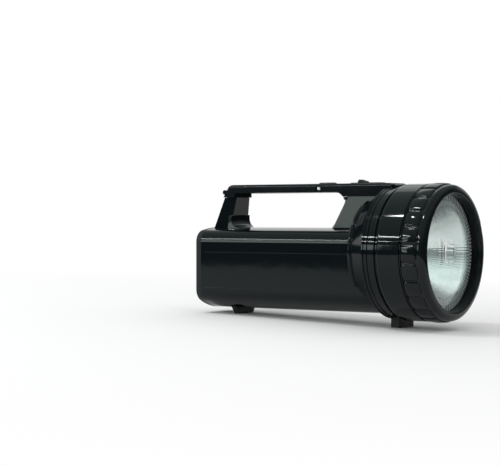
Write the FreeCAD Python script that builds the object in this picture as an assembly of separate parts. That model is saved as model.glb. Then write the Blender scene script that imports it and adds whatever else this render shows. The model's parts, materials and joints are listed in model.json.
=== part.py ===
import FreeCAD, Part
import math
import os

V = FreeCAD.Vector
X_AXIS = V(1, 0, 0)
Y_AXIS = V(0, 1, 0)

# The working frame lies on the beam: x = 0 is the front of the ring's grips, +X is where the light goes,
# +Y is the operator's left and z = 0 is the middle of the head. Sizes are in millimetres.
# The last step tips this frame until both feet stand on the ground.

# Body housing, a rounded tube with a low crown on top and a deeper arch below
body_half_width = 38.0
body_top = 23.0
body_bottom = -58.5
top_crown_radius = 140.0
top_corner_radius = 12.0
bottom_arch_radius = 68.0
bottom_corner_radius = 13.0
body_rear = -263.0
wall = 2.5
fit_gap = 0.15
running_gap = 0.06
seat_gap = 0.3
tiny = 1e-6

# Raised field along each side of the body
side_field_top = -1.5
side_field_bottom = -37.5
side_field_rear = -258.0
side_field_front = -66.0
side_field_height = 0.7

# Head housing
head_step = 4.8
ring_length = 22.5
ring_gap = 0.5
collar_length = 24.0
collar_shoulder = 3.0
groove_width = 3.0
groove_depth = 3.8
ridge_band_drop = 2.3
ridge_band_length = 13.0
ridge_height = 0.9
ridge_width = 1.8
ridge_bevel = 0.5
ridge_offset = 6.6
ridge_pitch = 4.0
funnel_length = 18.0
lip_radius = 50.0
lip_width = 4.6
head_wall = 2.3

# Head ring with its grips, lens, gasket and reflector
grip_count = 24
grip_groove_width = 1.5
grip_groove_depth = 1.2
rim_round = 3.0
rim_forward = 2.0
rim_step = 1.1
rim_band = 7.0
rim_lead = 1.2
ring_wall = 4.4
rim_width = 9.5
rim_depth = 8.0
lens_lip = 2.6
lens_thickness = 3.0
lens_rise = 4.6
gasket_thickness = 1.9
axial_gap = 0.1
reflector_flange = 4.2
reflector_sheet = 1.2
reflector_depth = 44.0
reflector_neck_radius = 11.0
spout_length = 3.0
socket_step = 2.0
thread_gap = 0.08

# Lamp
socket_radius = 15.0
socket_length = 11.0
tube_base_radius = 8.5
tube_base_length = 7.0
flash_tube_radius = 2.2
flash_tube_spread = 5.0
flash_tube_reach = 17.0
dome_radius = 9.6
dome_wall = 0.9
dome_length = 26.0
coil_radius = 8.0
coil_length = 14.0

# Handle
grip_top = 65.5
grip_width = 30.0
grip_underside = 57.0
skirt_bottom = 53.0
cover_wall = 1.8
cover_edge_round = 2.6
post_width = 28.6
post_draft = 1.3
tongue_width = 26.0
rear_post_foot_width = 38.0
rear_post_foot = (-264.0, -244.5)
rear_post_neck = (-250.0, -237.5)
rear_cover_end = -251.5
rear_cover_step = -246.0
front_cover_end = -57.0
window_front_top = -119.0
window_front_knee = -109.5
window_front_foot = -122.5
post_foot_z = 12.0
foot_flare = 9.0
rib_pitch = 6.0
rib_radius = 1.0
bar_height = 5.9
pin_x = -138.4
pin_z = 60.9
pin_radius = 2.2
pin_recess = 0.6
end_bead_radius = 2.4
thumb_pad_x = -136.6
thumb_pad_length = 19.0
thumb_pad_width = 12.0
thumb_pad_height = 1.4

# Thumb slider on the grip, shown at rest at the rear end of its travel
slider_plate_x = (-109.0, -74.0)
slider_plate_width = 14.0
slider_plate_height = 0.8
thumb_slider_x = (-100.5, -92.5)
thumb_slider_width = 9.0
thumb_slider_height = 2.9
thumb_travel = 8.0
stem_width = 4.0
stem_length = 5.0
power_switch_length = 19.0
power_switch_width = 12.0
power_switch_height = 8.0

# Rear panel
bezel_length = 7.0
bezel_rim = 3.4
bezel_round = 2.6
label_drop = 1.2
label_thickness = 0.4
panel_thickness = 2.0
spigot_length = 5.0
spigot_wall = 1.6
lcd_centre_z = -29.9
lcd_window_width = 52.4
lcd_window_height = 26.4
lcd_glass_margin = 2.0
lcd_glass_thickness = 2.3
lcd_frame_margin = 3.4
lcd_frame_rail = 5.0
window_thickness = 1.5
knob_z = 5.6
fine_knob_y = 0.0
coarse_knob_y = 22.4
range_y = -23.0
range_z = 4.5
range_slot_length = 13.1
range_slot_height = 4.8
range_slider_length = 9.0
range_travel = 4.0
range_slider_stand = 2.0
range_body_length = 20.0
range_body_height = 8.0

# Knobs and their potentiometers
knob_radius = 9.7
knob_flange = 1.7
knob_waist_radius = 8.7
knob_nose_radius = 7.0
knob_nose_step = 2.2
knob_height = 14.5
knob_facets = 24
knob_stand = 0.6
nut_pocket_radius = 7.2
nut_pocket_depth = 3.4
shaft_radius = 3.0
bush_radius = 4.5
bush_stand = 3.2
nut_thickness = 2.0
nut_radius = 6.4
pot_radius = 8.0

# Boards and what they carry
board_gap = 10.6
board_thickness = 1.6
board_margin = 4.6
board_top = 14.0
screw_spots = ((30.0, -10.0), (-30.0, -10.0), (14.0, -49.4), (-14.0, -49.4))
spacer_radius = 2.6
screw_radius = 1.4
screw_head_radius = 2.6
screw_head_depth = 1.2
boss_radius = 3.4
boss_length = 12.0
power_board_x = (-236.0, -130.0)
power_board_z = 2.0
ledge_width = 5.5
ledge_height = 3.0
board_screw_inset = 8.0
capacitor_radius = 8.0
capacitor_length = 40.0
capacitor_x = -222.0
transformer_x = -168.0
transformer_size = (24.0, 22.0, 12.0)
battery_x = (-232.0, -138.0)
battery_half_width = 22.0
battery_height = 44.0
battery_floor = -50.5
cradle_x = (-226.0, -187.0, -148.0)
cradle_width = 4.0
cradle_half_width = 25.0
cradle_cheek = 12.0

# Feet
front_foot_x = (-59.0, -49.0)
front_foot_width = 28.0
front_foot_drop = 6.0
rear_foot_x = (-239.5, -234.0)
rear_foot_top_width = 33.0
rear_foot_width = 25.0
rear_foot_drop = 5.5
foot_peg_radius = 2.5
foot_peg_length = 4.0

# Stations along the beam that follow from the lengths above
section_reach = math.hypot(body_half_width - bottom_corner_radius,
                           body_bottom + bottom_arch_radius
                           - math.sqrt((bottom_arch_radius - bottom_corner_radius) ** 2
                                       - (body_half_width - bottom_corner_radius) ** 2))
section_reach = section_reach + bottom_corner_radius
head_radius = max(section_reach, -body_bottom) + head_step
thread_radius = head_radius - ring_wall
collar_front = -(ring_length + ring_gap)
collar_rear = collar_front - collar_length
groove_rear = collar_rear - groove_width
funnel_front = groove_rear - ridge_band_length
funnel_rear = funnel_front - funnel_length
lip_rear = funnel_rear - lip_width
groove_radius = head_radius - groove_depth
band_radius = head_radius - ridge_band_drop
ring_bore_radius = thread_radius + thread_gap
opening_radius = head_radius - rim_width
lens_seat_radius = opening_radius + lens_lip
lens_front = -rim_depth - axial_gap
lens_rear = lens_front - lens_thickness
gasket_rear = lens_rear - gasket_thickness
neck_front = gasket_rear - axial_gap
reflector_mouth = opening_radius - reflector_flange
reflector_rear = neck_front - reflector_depth
bezel_rear = body_rear - bezel_length
label_rear = bezel_rear + label_drop
panel_rear = label_rear + label_thickness
panel_front = panel_rear + panel_thickness
board_rear = panel_front + board_gap
board_front = board_rear + board_thickness


def box(x_span, y_span, z_span):
    size = [span[1] - span[0] for span in (x_span, y_span, z_span)]
    return Part.makeBox(size[0], size[1], size[2], V(x_span[0], y_span[0], z_span[0]))


def rod_x(radius, x_from, x_to, y=0.0, z=0.0):
    return Part.makeCylinder(radius, abs(x_to - x_from), V(min(x_from, x_to), y, z), X_AXIS)


def rod_y(radius, x, z, half_length):
    return Part.makeCylinder(radius, 2 * half_length, V(x, -half_length, z), Y_AXIS)


def outline_wire(outline, y=0.0):
    """A closed wire in the plane at y. A point is (x, z); an arc is (middle x, middle z, end x, end z)."""
    start = V(outline[0][-2], y, outline[0][-1])
    last = start
    edges = []
    for entry in outline[1:] + [outline[0]]:
        end = V(entry[-2], y, entry[-1])
        if end.distanceToPoint(last) < tiny:
            continue
        if len(entry) == 4:
            edges.append(Part.Arc(last, V(entry[0], y, entry[1]), end).toShape())
        else:
            edges.append(Part.makeLine(last, end))
        last = end
    return Part.Wire(edges)


def turned(outline):
    """A solid of revolution about the beam from an (x, radius) outline."""
    return Part.Face(outline_wire(outline)).revolve(V(0, 0, 0), X_AXIS, 360)


def slab_y(outline, half_width):
    """An (x, z) outline carried across the body by half_width each way."""
    return Part.Face(outline_wire(outline, -half_width)).extrude(V(0, 2 * half_width, 0))


def arc(centre, radius, start, end):
    """A start point and an arc from it, for an outline. Angles are in degrees from +X."""
    angles = [math.radians(a) for a in (start, (start + end) / 2, end)]
    spots = [(centre[0] + radius * math.cos(a), centre[1] + radius * math.sin(a)) for a in angles]
    return [spots[0], spots[1] + spots[2]]


def corner_centre(crown_centre_z, crown_radius, corner_radius, side):
    across = body_half_width - corner_radius
    return across, crown_centre_z + side * math.sqrt((crown_radius - corner_radius) ** 2 - across ** 2)


def body_section(x, grow=0.0):
    """The body's outline at x: two flat sides, a crown, an arch and four blended corners."""
    top_z = body_top - top_crown_radius
    low_z = body_bottom + bottom_arch_radius
    top_y, top_corner_z = corner_centre(top_z, top_crown_radius, top_corner_radius, 1)
    low_y, low_corner_z = corner_centre(low_z, bottom_arch_radius, bottom_corner_radius, -1)
    top_angle = math.atan2(top_corner_z - top_z, top_y)
    low_angle = math.atan2(low_corner_z - low_z, low_y)
    half_width = body_half_width + grow

    def at(centre_y, centre_z, radius, angle, side=1):
        return V(x, side * (centre_y + radius * math.cos(angle)), centre_z + radius * math.sin(angle))

    top_r = top_corner_radius + grow
    low_r = bottom_corner_radius + grow
    side_top = V(x, half_width, top_corner_z)
    side_low = V(x, half_width, low_corner_z)
    crown_end = at(0, top_z, top_crown_radius + grow, top_angle)
    arch_end = at(0, low_z, bottom_arch_radius + grow, low_angle)

    def mirrored(point):
        return V(point.x, -point.y, point.z)

    top_mid = at(top_y, top_corner_z, top_r, top_angle / 2)
    low_mid = at(low_y, low_corner_z, low_r, low_angle / 2)
    crown = V(x, 0, body_top + grow)
    arch = V(x, 0, body_bottom - grow)
    edges = [
        Part.Arc(side_top, top_mid, crown_end).toShape(),
        Part.Arc(crown_end, crown, mirrored(crown_end)).toShape(),
        Part.Arc(mirrored(crown_end), mirrored(top_mid), mirrored(side_top)).toShape(),
        Part.makeLine(mirrored(side_top), mirrored(side_low)),
        Part.Arc(mirrored(side_low), mirrored(low_mid), mirrored(arch_end)).toShape(),
        Part.Arc(mirrored(arch_end), arch, arch_end).toShape(),
        Part.Arc(arch_end, low_mid, side_low).toShape(),
        Part.makeLine(side_low, side_top),
    ]
    return Part.Wire(edges)


def body_prism(x_from, x_to, grow=0.0):
    return Part.Face(body_section(x_from, grow)).extrude(V(x_to - x_from, 0, 0))


def funnel_radius(x):
    share = (x - funnel_rear) / funnel_length
    return lip_radius + share * (band_radius - lip_radius)


def body_front_end():
    """Where the body's widest corner just clears the inside of the funnel."""
    reach = section_reach + fit_gap
    inner_slope = (band_radius - lip_radius) / funnel_length
    inside = reach + head_wall
    return funnel_rear + (inside - lip_radius) / inner_slope - seat_gap


def head_outline(lip_grow=0.0):
    """Outer line of the head from its threaded neck back to the rolled lip."""
    line = [(neck_front, thread_radius), (collar_front, thread_radius), (collar_front, head_radius)]
    shoulder = (collar_rear + collar_shoulder, head_radius - collar_shoulder)
    line += arc(shoulder, collar_shoulder, 90, 180)
    line += [(collar_rear, groove_radius), (groove_rear, groove_radius), (groove_rear, band_radius)]
    for ridge in (groove_rear - ridge_offset, groove_rear - ridge_offset - ridge_pitch):
        rear = ridge - ridge_width
        crest = band_radius + ridge_height
        line += [(ridge, band_radius), (ridge - ridge_bevel, crest), (rear + ridge_bevel, crest),
                 (rear, band_radius)]
    line += [(funnel_front, band_radius), (funnel_rear + 0.6, funnel_radius(funnel_rear + 0.6))]
    lip_centre = (funnel_rear - lip_width / 2, lip_radius - lip_width / 2 + 0.6)
    line += arc(lip_centre, lip_width / 2 + lip_grow, 40, 180)
    return line


def head_envelope(grow):
    """The head filled solid and grown a little, for trimming what butts against it."""
    line = []
    for entry in head_outline(grow):
        grown = [value + grow * (place % 2) for place, value in enumerate(entry)]
        line.append(tuple(grown))
    rear = lip_rear - grow
    line = [(line[0][0] + grow, 0), (line[0][0] + grow, line[0][1])] + line
    return turned(line + [(rear, line[-1][-1]), (rear, 0)])


def head_housing():
    line = head_outline()
    bore = reflector_mouth + reflector_sheet + 0.9
    seat = neck_front - reflector_sheet - axial_gap
    inner_band = groove_radius - head_wall
    inside = [(lip_rear, lip_radius - lip_width), (funnel_rear, lip_radius - head_wall - 0.4)]
    inside += [(funnel_front, band_radius - head_wall), (groove_rear, inner_band + 1.0)]
    inside += [(collar_rear, inner_band), (collar_rear + 9, bore), (seat, bore)]
    inside += [(seat, opening_radius + fit_gap), (neck_front, opening_radius + fit_gap)]
    shell = turned(line + inside).cut(body_prism(body_rear, body_front_end() + seat_gap, fit_gap))
    return shell.cut(Part.makeCompound(side_fields(fit_gap)))


def rear_post():
    """The rear post leans forward and narrows from its foot to the grip."""
    def ring(span, width, z):
        round_off = 3.0
        rect = [(span[0], -width / 2), (span[1], -width / 2 + round_off),
                (span[1], width / 2 - round_off), (span[0], width / 2)]
        points = [V(x, y, z) for x, y in rect]
        return Part.makePolygon(points + [points[0]])

    neck = ring(rear_post_neck, post_width, skirt_bottom - fit_gap)
    foot = ring(rear_post_foot, rear_post_foot_width, post_foot_z)
    post = Part.makeLoft([foot, neck], True, True)
    lean = (rear_post_neck[0] - rear_post_foot[0]) / (skirt_bottom - post_foot_z)
    narrowing = (rear_post_foot_width - post_width) / (skirt_bottom - post_foot_z)
    z = body_top + rib_pitch * 0.6
    ribs = []
    while z < skirt_bottom - rib_pitch / 3:
        x = rear_post_foot[0] + lean * (z - post_foot_z)
        half = (rear_post_foot_width - narrowing * (z - post_foot_z)) / 2 - 1.5
        ribs.append(rod_y(rib_radius, x, z, half))
        z += rib_pitch
    post = post.multiFuse(ribs)
    flare_x = rear_post_foot[1] + foot_flare
    top = body_top - 0.6
    flare = [(rear_post_foot[1] - 6, top - 3), (flare_x + 4, top - 3), (flare_x + 4, top)]
    flare += arc((flare_x, top + foot_flare), foot_flare, -90, -168)
    flare += [(rear_post_foot[1] - 2, top + foot_flare)]
    return post.fuse(slab_y(flare, rear_post_foot_width / 2 - 5))


def window_edge():
    """The slanted front edge of the hand opening with its rounded top corner."""
    corner = window_front_knee - window_front_top
    centre = (window_front_top, grip_underside - corner)
    return arc(centre, corner, 90, -8)


def edge_wedges(upper, lower, half_width, size):
    """Two long wedges that bevel both sides of a slanted (x, z) edge."""
    along = V(upper[0] - lower[0], 0, upper[1] - lower[1])
    outward = V(-along.z, 0, along.x)
    outward.normalize()
    start = V(lower[0], 0, lower[1]) - along
    wedges = []
    for side in (-1, 1):
        corner = start + V(0, side * half_width, 0)
        points = [corner + outward * size + V(0, side * size, 0), corner - outward * size * 2,
                  corner - V(0, side * size * 2, 0)]
        points[1] = points[1] + V(0, side * size, 0)
        points[2] = points[2] + outward * size
        wedges.append(Part.Face(Part.makePolygon(points + [points[0]])).extrude(along * 3))
    return wedges


def front_post():
    edge = window_edge()
    front = front_cover_end - 1.0
    foot = [(window_front_foot + 1.5, body_top + 3), (window_front_foot - 2, body_top)]
    foot += [(window_front_foot - 2, post_foot_z), (front, post_foot_z)]
    post = slab_y([(front, grip_underside)] + edge + foot, post_width / 2 + post_draft)
    foot_half = post_width / 2 + post_draft
    rise = skirt_bottom - body_top
    for side in (-1, 1):
        spots = [(foot_half, body_top), (post_width / 2, skirt_bottom), (post_width / 2 - post_draft, skirt_bottom
                 + rise), (post_width, skirt_bottom + rise), (post_width, body_top)]
        points = [V(window_front_foot - 5, side * y, z) for y, z in spots]
        wedge = Part.Face(Part.makePolygon(points + [points[0]])).extrude(V(-window_front_foot, 0, 0))
        post = post.cut(wedge)
    post = post.cut(box((window_front_top - 5, 0), (-post_width, post_width), (skirt_bottom - fit_gap, grip_top)))
    return post.cut(Part.makeCompound(edge_wedges(edge[-1][-2:], foot[0], post_width / 2 + post_draft, 1.9)))


def tongue(x_from, x_to):
    """A narrower tongue above a post, which the grip cover fits over."""
    inner = slab_y(cover_outline(cover_wall + fit_gap), tongue_width / 2)
    return inner.common(box((x_from, x_to), (-tongue_width, tongue_width), (skirt_bottom - 1, grip_top)))


def switch_pocket():
    middle = sum(thumb_slider_x) / 2 + thumb_travel / 2
    half = power_switch_length / 2 + fit_gap
    top = grip_top - cover_wall
    floor = top - fit_gap - power_switch_height
    wide = power_switch_width / 2 + fit_gap
    return box((middle - half, middle + half), (-wide, wide), (floor, top + 5))


def side_fields(grow=0.0):
    """The raised field on each side, its long edges bevelled."""
    proud = body_half_width + side_field_height + grow
    low = side_field_bottom - grow
    high = side_field_top + grow
    bevel = side_field_height * 0.8
    fields = []
    for side in (-1, 1):
        points = [(body_half_width - 0.5, low), (proud - bevel, low), (proud, low + bevel),
                  (proud, high - bevel), (proud - bevel, high), (body_half_width - 0.5, high)]
        spots = [V(side_field_rear, side * y, z) for y, z in points]
        face = Part.Face(Part.makePolygon(spots + [spots[0]]))
        fields.append(face.extrude(V(side_field_front - side_field_rear, 0, 0)))
    return fields


def screw_bosses():
    """Bosses at the rear of the body, each joined to the nearest wall by a web."""
    parts = []
    for y, z in screw_spots:
        parts.append(rod_x(boss_radius, board_front, board_front + boss_length, y, z))
        if abs(y) > abs(z):
            reach = sorted((y, math.copysign(body_half_width, y)))
            parts.append(box((board_front, board_front + boss_length), reach, (z - 1.5, z + 1.5)))
        else:
            parts.append(box((board_front, board_front + boss_length), (y - 1.5, y + 1.5), (body_bottom, z)))
    return parts


def inner_ribs():
    """Ledges for the power board and cradle ribs for the battery."""
    parts = screw_bosses()
    for side in (-1, 1):
        y = sorted((side * (body_half_width - wall - ledge_width), side * body_half_width))
        parts.append(box(power_board_x, y, (power_board_z - ledge_height, power_board_z)))
    for x in cradle_x:
        span = (x - cradle_width / 2, x + cradle_width / 2)
        parts.append(box(span, (-cradle_half_width, cradle_half_width), (body_bottom, battery_floor)))
        for side in (-1, 1):
            y = sorted((side * (battery_half_width + seat_gap), side * cradle_half_width))
            parts.append(box(span, y, (battery_floor - 1, battery_floor + cradle_cheek)))
    return parts


def body_housing():
    front = body_front_end()
    inside = body_prism(body_rear - 1, front + 1, -wall)
    tube = body_prism(body_rear, front).multiFuse(side_fields())
    upper = rear_post().fuse(front_post())
    bar_z = (grip_underside + fit_gap, grip_underside + bar_height)
    bar_x = (rear_post_neck[1] - 4, window_front_knee + 4)
    bar = box(bar_x, (-tongue_width / 2, tongue_width / 2), bar_z)
    rear_tongue = tongue(rear_cover_end, rear_post_neck[1] - cover_wall - fit_gap)
    front_tongue = tongue(window_front_knee + 1 + cover_wall + fit_gap, front_cover_end)
    upper = upper.multiFuse([bar, rear_tongue, front_tongue])
    upper = upper.cut(head_envelope(fit_gap))
    shell = tube.fuse(upper).cut(inside)
    ribs = [rib.common(inside) for rib in inner_ribs()]
    shell = shell.multiFuse(ribs)
    holes = [switch_pocket(), rod_y(pin_radius + running_gap, pin_x, pin_z, grip_width)]
    holes += [rod_x(screw_radius, board_front - 1, board_front + boss_length - 2, y, z)
              for y, z in screw_spots]
    for x, y in board_screw_spots():
        holes.append(Part.makeCylinder(screw_radius, ledge_height - 0.6,
                                       V(x, y, power_board_z - ledge_height + 0.6)))
    foot_middle = sum(rear_foot_x) / 2
    holes.append(Part.makeCylinder(foot_peg_radius + running_gap, foot_peg_length + 2,
                                   V(foot_middle, 0, body_bottom - 1)))
    return shell.cut(Part.makeCompound(holes)).removeSplitter()


def cover_outline(inset):
    """Side view of the grip cover, drawn in by inset all round except at its open underside."""
    rear = rear_cover_end + inset
    top = grip_top - inset
    nose = front_cover_end - inset
    corner = window_front_knee - window_front_top
    floor = skirt_bottom - inset * 2
    front_skirt = window_front_knee + 1 + inset
    rear_skirt = rear_post_neck[1] - inset
    line = [(rear, floor), (rear + 2.5, grip_underside)]
    line += arc((rear_cover_step + 5.5, top - 6), 6, 160, 90)
    line += arc((nose - 4, top - 4), 4, 90, 10)
    line += [(nose, floor), (front_skirt, floor)]
    if inset:
        line += [(front_skirt, grip_underside)]
    else:
        start = math.degrees(math.asin((skirt_bottom - grip_underside + corner) / corner))
        line += arc((window_front_top, grip_underside - corner), corner, start, 90)
    return line + [(rear_skirt, grip_underside), (rear_skirt, floor)]


def thumb_slot():
    """The opening in the grip that the slider's stem runs in."""
    middle = sum(thumb_slider_x) / 2
    half = stem_length / 2 + running_gap * 3
    return box((middle - half, middle + thumb_travel + half),
               (-stem_width / 2 - running_gap * 2, stem_width / 2 + running_gap * 2),
               (skirt_bottom, grip_top + 5))


def rounded_bar():
    """A bar along the grip with its two upper edges rounded."""
    half = grip_width / 2
    shoulder = half - cover_edge_round
    slant = cover_edge_round * math.sqrt(0.5)
    x = rear_cover_end - 1
    top = grip_top
    low = skirt_bottom - 1
    side_top = top - cover_edge_round

    def corner(side):
        start = V(x, side * half, side_top)
        middle = V(x, side * (shoulder + slant), side_top + slant)
        return Part.Arc(start, middle, V(x, side * shoulder, top)).toShape()

    under = Part.makePolygon([V(x, half, side_top), V(x, half, low), V(x, -half, low), V(x, -half, side_top)])
    lid = Part.makeLine(V(x, shoulder, top), V(x, -shoulder, top))
    face = Part.Face(Part.Wire(corner(1).Edges + lid.Edges + corner(-1).Edges + under.Edges))
    return face.extrude(V(front_cover_end + 1 - x, 0, 0))


def grip_cover():
    outer = slab_y(cover_outline(0.0), grip_width / 2).common(rounded_bar())
    pad = Part.makeCylinder(1.0, thumb_pad_height, V(0, 0, 0))
    stretch = FreeCAD.Matrix()
    stretch.scale(thumb_pad_length / 2, thumb_pad_width / 2, 1.0)
    pad = pad.transformGeometry(stretch)
    pad.translate(V(thumb_pad_x, 0, grip_top - 0.1))
    rim = [e for e in pad.Edges if e.BoundBox.ZMin > grip_top + thumb_pad_height - 0.2]
    pad = pad.makeFillet(thumb_pad_height * 0.8, rim)
    beads = [rod_y(end_bead_radius, rear_cover_end + 1.5, grip_underside + 1.0, grip_width / 2)]
    beads.append(rod_y(end_bead_radius * 0.8, front_cover_end + 0.4, grip_top - 3.4, grip_width / 2 - 3))
    outer = outer.multiFuse([pad] + beads)
    inner = slab_y(cover_outline(cover_wall), grip_width / 2 - cover_wall)
    holes = [inner, thumb_slot(), rod_y(pin_radius + running_gap, pin_x, pin_z, grip_width)]
    for side in (-1, 1):
        recess = Part.makeCylinder(pin_radius + 1.0, pin_recess + 1,
                                   V(pin_x, side * (grip_width / 2 - pin_recess), pin_z), V(0, side, 0))
        holes.append(recess)
    cover = outer
    for hole in holes:
        cover = cover.cut(hole)
    return cover.cut(head_envelope(seat_gap)).removeSplitter()


def grip_pin():
    half = grip_width / 2 - 0.2
    pin = rod_y(pin_radius, pin_x, pin_z, half)
    ends = [e for e in pin.Edges if e.BoundBox.YLength < 1e-6]
    return pin.makeChamfer(pin_radius * 0.3, ends)


def slider_plate():
    plate = box(slider_plate_x, (-slider_plate_width / 2, slider_plate_width / 2),
                (grip_top, grip_top + slider_plate_height))
    upright = [e for e in plate.Edges if e.BoundBox.ZLength > slider_plate_height / 2]
    plate = plate.makeFillet(slider_plate_width / 3, upright)
    upper = [e for e in plate.Edges if e.BoundBox.ZMin > grip_top + slider_plate_height / 2]
    plate = plate.makeChamfer(slider_plate_height * 0.5, upper)
    return plate.cut(thumb_slot()).cut(head_envelope(seat_gap))


def thumb_slider():
    """A wedge with a steep rear face and cross ribs, on a stem that reaches into the switch."""
    base = grip_top + slider_plate_height + axial_gap
    rear, front = thumb_slider_x
    peak = base + thumb_slider_height
    outline = [(rear, base), (rear + 0.6, peak - 0.8)]
    outline += arc((rear + 1.8, peak - 1.2), 1.2, 160, 60)
    outline += [(front - 0.6, base + 1.2), (front, base)]
    cap = slab_y(outline, thumb_slider_width / 2)
    sides = [e for e in cap.Edges if e.BoundBox.YLength < 1e-6 and e.BoundBox.ZMin > base + 1.0]
    cap = cap.makeChamfer(0.6, sides)
    notches = []
    for step in range(3):
        share = 0.42 + 0.19 * step
        x = rear + share * (front - rear)
        z = peak - (share - 0.22) * (thumb_slider_height - 1.2) / 0.78
        notches.append(rod_y(0.4, x, z, thumb_slider_width))
    cap = cap.cut(Part.makeCompound(notches))
    middle = (rear + front) / 2
    stem_top = base + 0.4
    stem_foot = grip_top - cover_wall - fit_gap - power_switch_height / 2
    stem = box((middle - stem_length / 2, middle + stem_length / 2),
               (-stem_width / 2, stem_width / 2), (stem_foot, stem_top))
    return cap.fuse(stem)


def power_switch():
    middle = sum(thumb_slider_x) / 2
    centre = middle + thumb_travel / 2
    half = power_switch_length / 2
    top = grip_top - cover_wall - fit_gap
    case = box((centre - half, centre + half), (-power_switch_width / 2, power_switch_width / 2),
               (top - power_switch_height + axial_gap, top))
    slot_half = stem_length / 2 + seat_gap
    slot_wide = stem_width / 2 + seat_gap
    slot = box((middle - slot_half, middle + thumb_travel + slot_half), (-slot_wide, slot_wide),
               (top - power_switch_height / 2 - seat_gap, top + 1))
    return case.cut(slot)


def head_ring():
    """The screwed ring: grip panels outside, a polished rim in front and the lens seat inside."""
    rim_radius = head_radius - rim_step
    step = -rim_band + rim_forward
    centre = (rim_forward - rim_round, rim_radius - rim_round)
    profile = [(-ring_length, ring_bore_radius), (-ring_length, head_radius - 0.5)]
    profile += [(-ring_length + 0.5, head_radius), (step - 0.5, head_radius), (step, head_radius - 0.5)]
    profile += [(step, rim_radius)] + arc(centre, rim_round, 90, 0)
    profile += [(rim_forward, opening_radius + rim_lead), (rim_forward - rim_lead / 2, opening_radius + rim_lead / 4)]
    profile += [(rim_forward - rim_lead * 1.5, opening_radius)]
    profile += [(-rim_depth, opening_radius), (-rim_depth, lens_seat_radius)]
    profile += [(neck_front + axial_gap, lens_seat_radius), (neck_front + axial_gap, ring_bore_radius)]
    ring = turned(profile)
    groove_span = (-ring_length + 1.6, step + 0.1)
    groove = box(groove_span, (-grip_groove_width / 2, grip_groove_width / 2),
                 (head_radius - grip_groove_depth, head_radius + 2))
    grooves = []
    for i in range(grip_count):
        turned_groove = groove.copy()
        turned_groove.rotate(V(0, 0, 0), X_AXIS, (i + 0.5) * 360.0 / grip_count)
        grooves.append(turned_groove)
    band = turned([(groove_span[0], head_radius - 0.7), (groove_span[0], head_radius + 1),
                   (groove_span[0] + 1.0, head_radius + 1), (groove_span[0] + 1.0, head_radius - 0.7)])
    return ring.cut(Part.makeCompound(grooves)).cut(band)


def lens():
    radius = lens_seat_radius - running_gap * 4
    edge = radius * 0.94
    reach = (edge ** 2 + lens_rise ** 2) / (2 * lens_rise)
    half_chord = edge / 2
    mid_rise = math.sqrt(reach ** 2 - half_chord ** 2) - (reach - lens_rise)
    bulge = [(lens_front, edge), (lens_front + mid_rise, half_chord, lens_front + lens_rise, 0)]
    return turned([(lens_rear, 0), (lens_rear, radius), (lens_front, radius)] + bulge)


def lens_gasket():
    outer = lens_seat_radius - running_gap * 4
    return turned([(lens_rear, opening_radius + 0.4), (lens_rear, outer),
                   (gasket_rear, outer), (gasket_rear, opening_radius + 0.4)])


def reflector():
    """A pressed paraboloid with a flat rim and a short neck for the lamp."""
    throat = reflector_rear
    back = throat - spout_length
    seat = neck_front - reflector_sheet
    growth = (reflector_mouth ** 2 - reflector_neck_radius ** 2) / reflector_depth

    def bowl(x, sheet):
        return math.sqrt(reflector_neck_radius ** 2 + growth * (x - throat)) + sheet

    shares = (0.0, 0.04, 0.15, 0.35, 0.65, 1.0)
    inner = [V(throat + reflector_depth * share, 0, 0) for share in shares]
    inner = [V(p.x, 0, bowl(p.x, 0)) for p in inner]
    outer = [V(p.x - reflector_sheet * share, 0, bowl(p.x, reflector_sheet * (1 - share * share / 2)))
             for p, share in zip(inner, shares)]
    bowl_line = Part.BSplineCurve()
    bowl_line.interpolate(inner)
    around = [inner[-1], V(neck_front, 0, opening_radius), V(seat, 0, opening_radius), outer[-1]]
    neck = [outer[0], V(back, 0, reflector_neck_radius + reflector_sheet),
            V(back, 0, reflector_neck_radius), inner[0]]
    back_line = Part.makePolygon(list(reversed(outer)))
    rims = Part.makePolygon(around).Edges + back_line.Edges + Part.makePolygon(neck).Edges
    wire = Part.Wire([bowl_line.toShape()] + rims)
    return Part.Face(wire).revolve(V(0, 0, 0), X_AXIS, 360)


def tube_socket():
    """A stepped insulator that plugs into the reflector's neck from behind."""
    plug = reflector_neck_radius - fit_gap
    front = reflector_rear + socket_step
    back = reflector_rear - spout_length - fit_gap
    profile = [(front, 0), (front, plug), (back, plug), (back, socket_radius)]
    profile += [(back - socket_length + 1, socket_radius), (back - socket_length, socket_radius - 1)]
    profile += [(back - socket_length, 0)]
    body = turned(profile)
    well = rod_x(tube_base_radius + fit_gap, tube_base_front() - tube_base_length, front + 1)
    return body.cut(well)


def tube_base_front():
    return reflector_rear + socket_step * 2


def xenon_tube():
    """A U of quartz glass on a round base, its two legs along the beam."""
    front = tube_base_front()
    base = rod_x(tube_base_radius, front - tube_base_length + 0.2, front)
    top = front + flash_tube_reach
    legs = []
    for side in (-1, 1):
        legs.append(rod_x(flash_tube_radius, front - 1, top, side * flash_tube_spread, 0))
    bend = Part.makeTorus(flash_tube_spread, flash_tube_radius, V(top, 0, 0), V(0, 0, 1), -180, 180, 180)
    bend.rotate(V(top, 0, 0), V(0, 0, 1), -90)
    return base.multiFuse(legs + [bend])


def lamp_dome():
    """The clear cap that guards the flash tube."""
    front = tube_base_front() + axial_gap
    end = front + dome_length
    outer = arc((end - dome_radius, 0), dome_radius, 0, 90)
    inner = arc((end - dome_radius, 0), dome_radius - dome_wall, 90, 0)
    profile = outer + [(front, dome_radius), (front, dome_radius - dome_wall)] + inner
    return turned(profile)


def coil_front():
    return reflector_rear - spout_length - fit_gap - socket_length - axial_gap


def trigger_coil():
    rear = coil_front()
    middle = rear - coil_length
    parts = [rod_x(coil_radius, rear - 2, rear), rod_x(coil_radius - 2, middle, rear)]
    parts.append(rod_x(coil_radius, middle, middle + 2))
    return parts[0].multiFuse(parts[1:])


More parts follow.
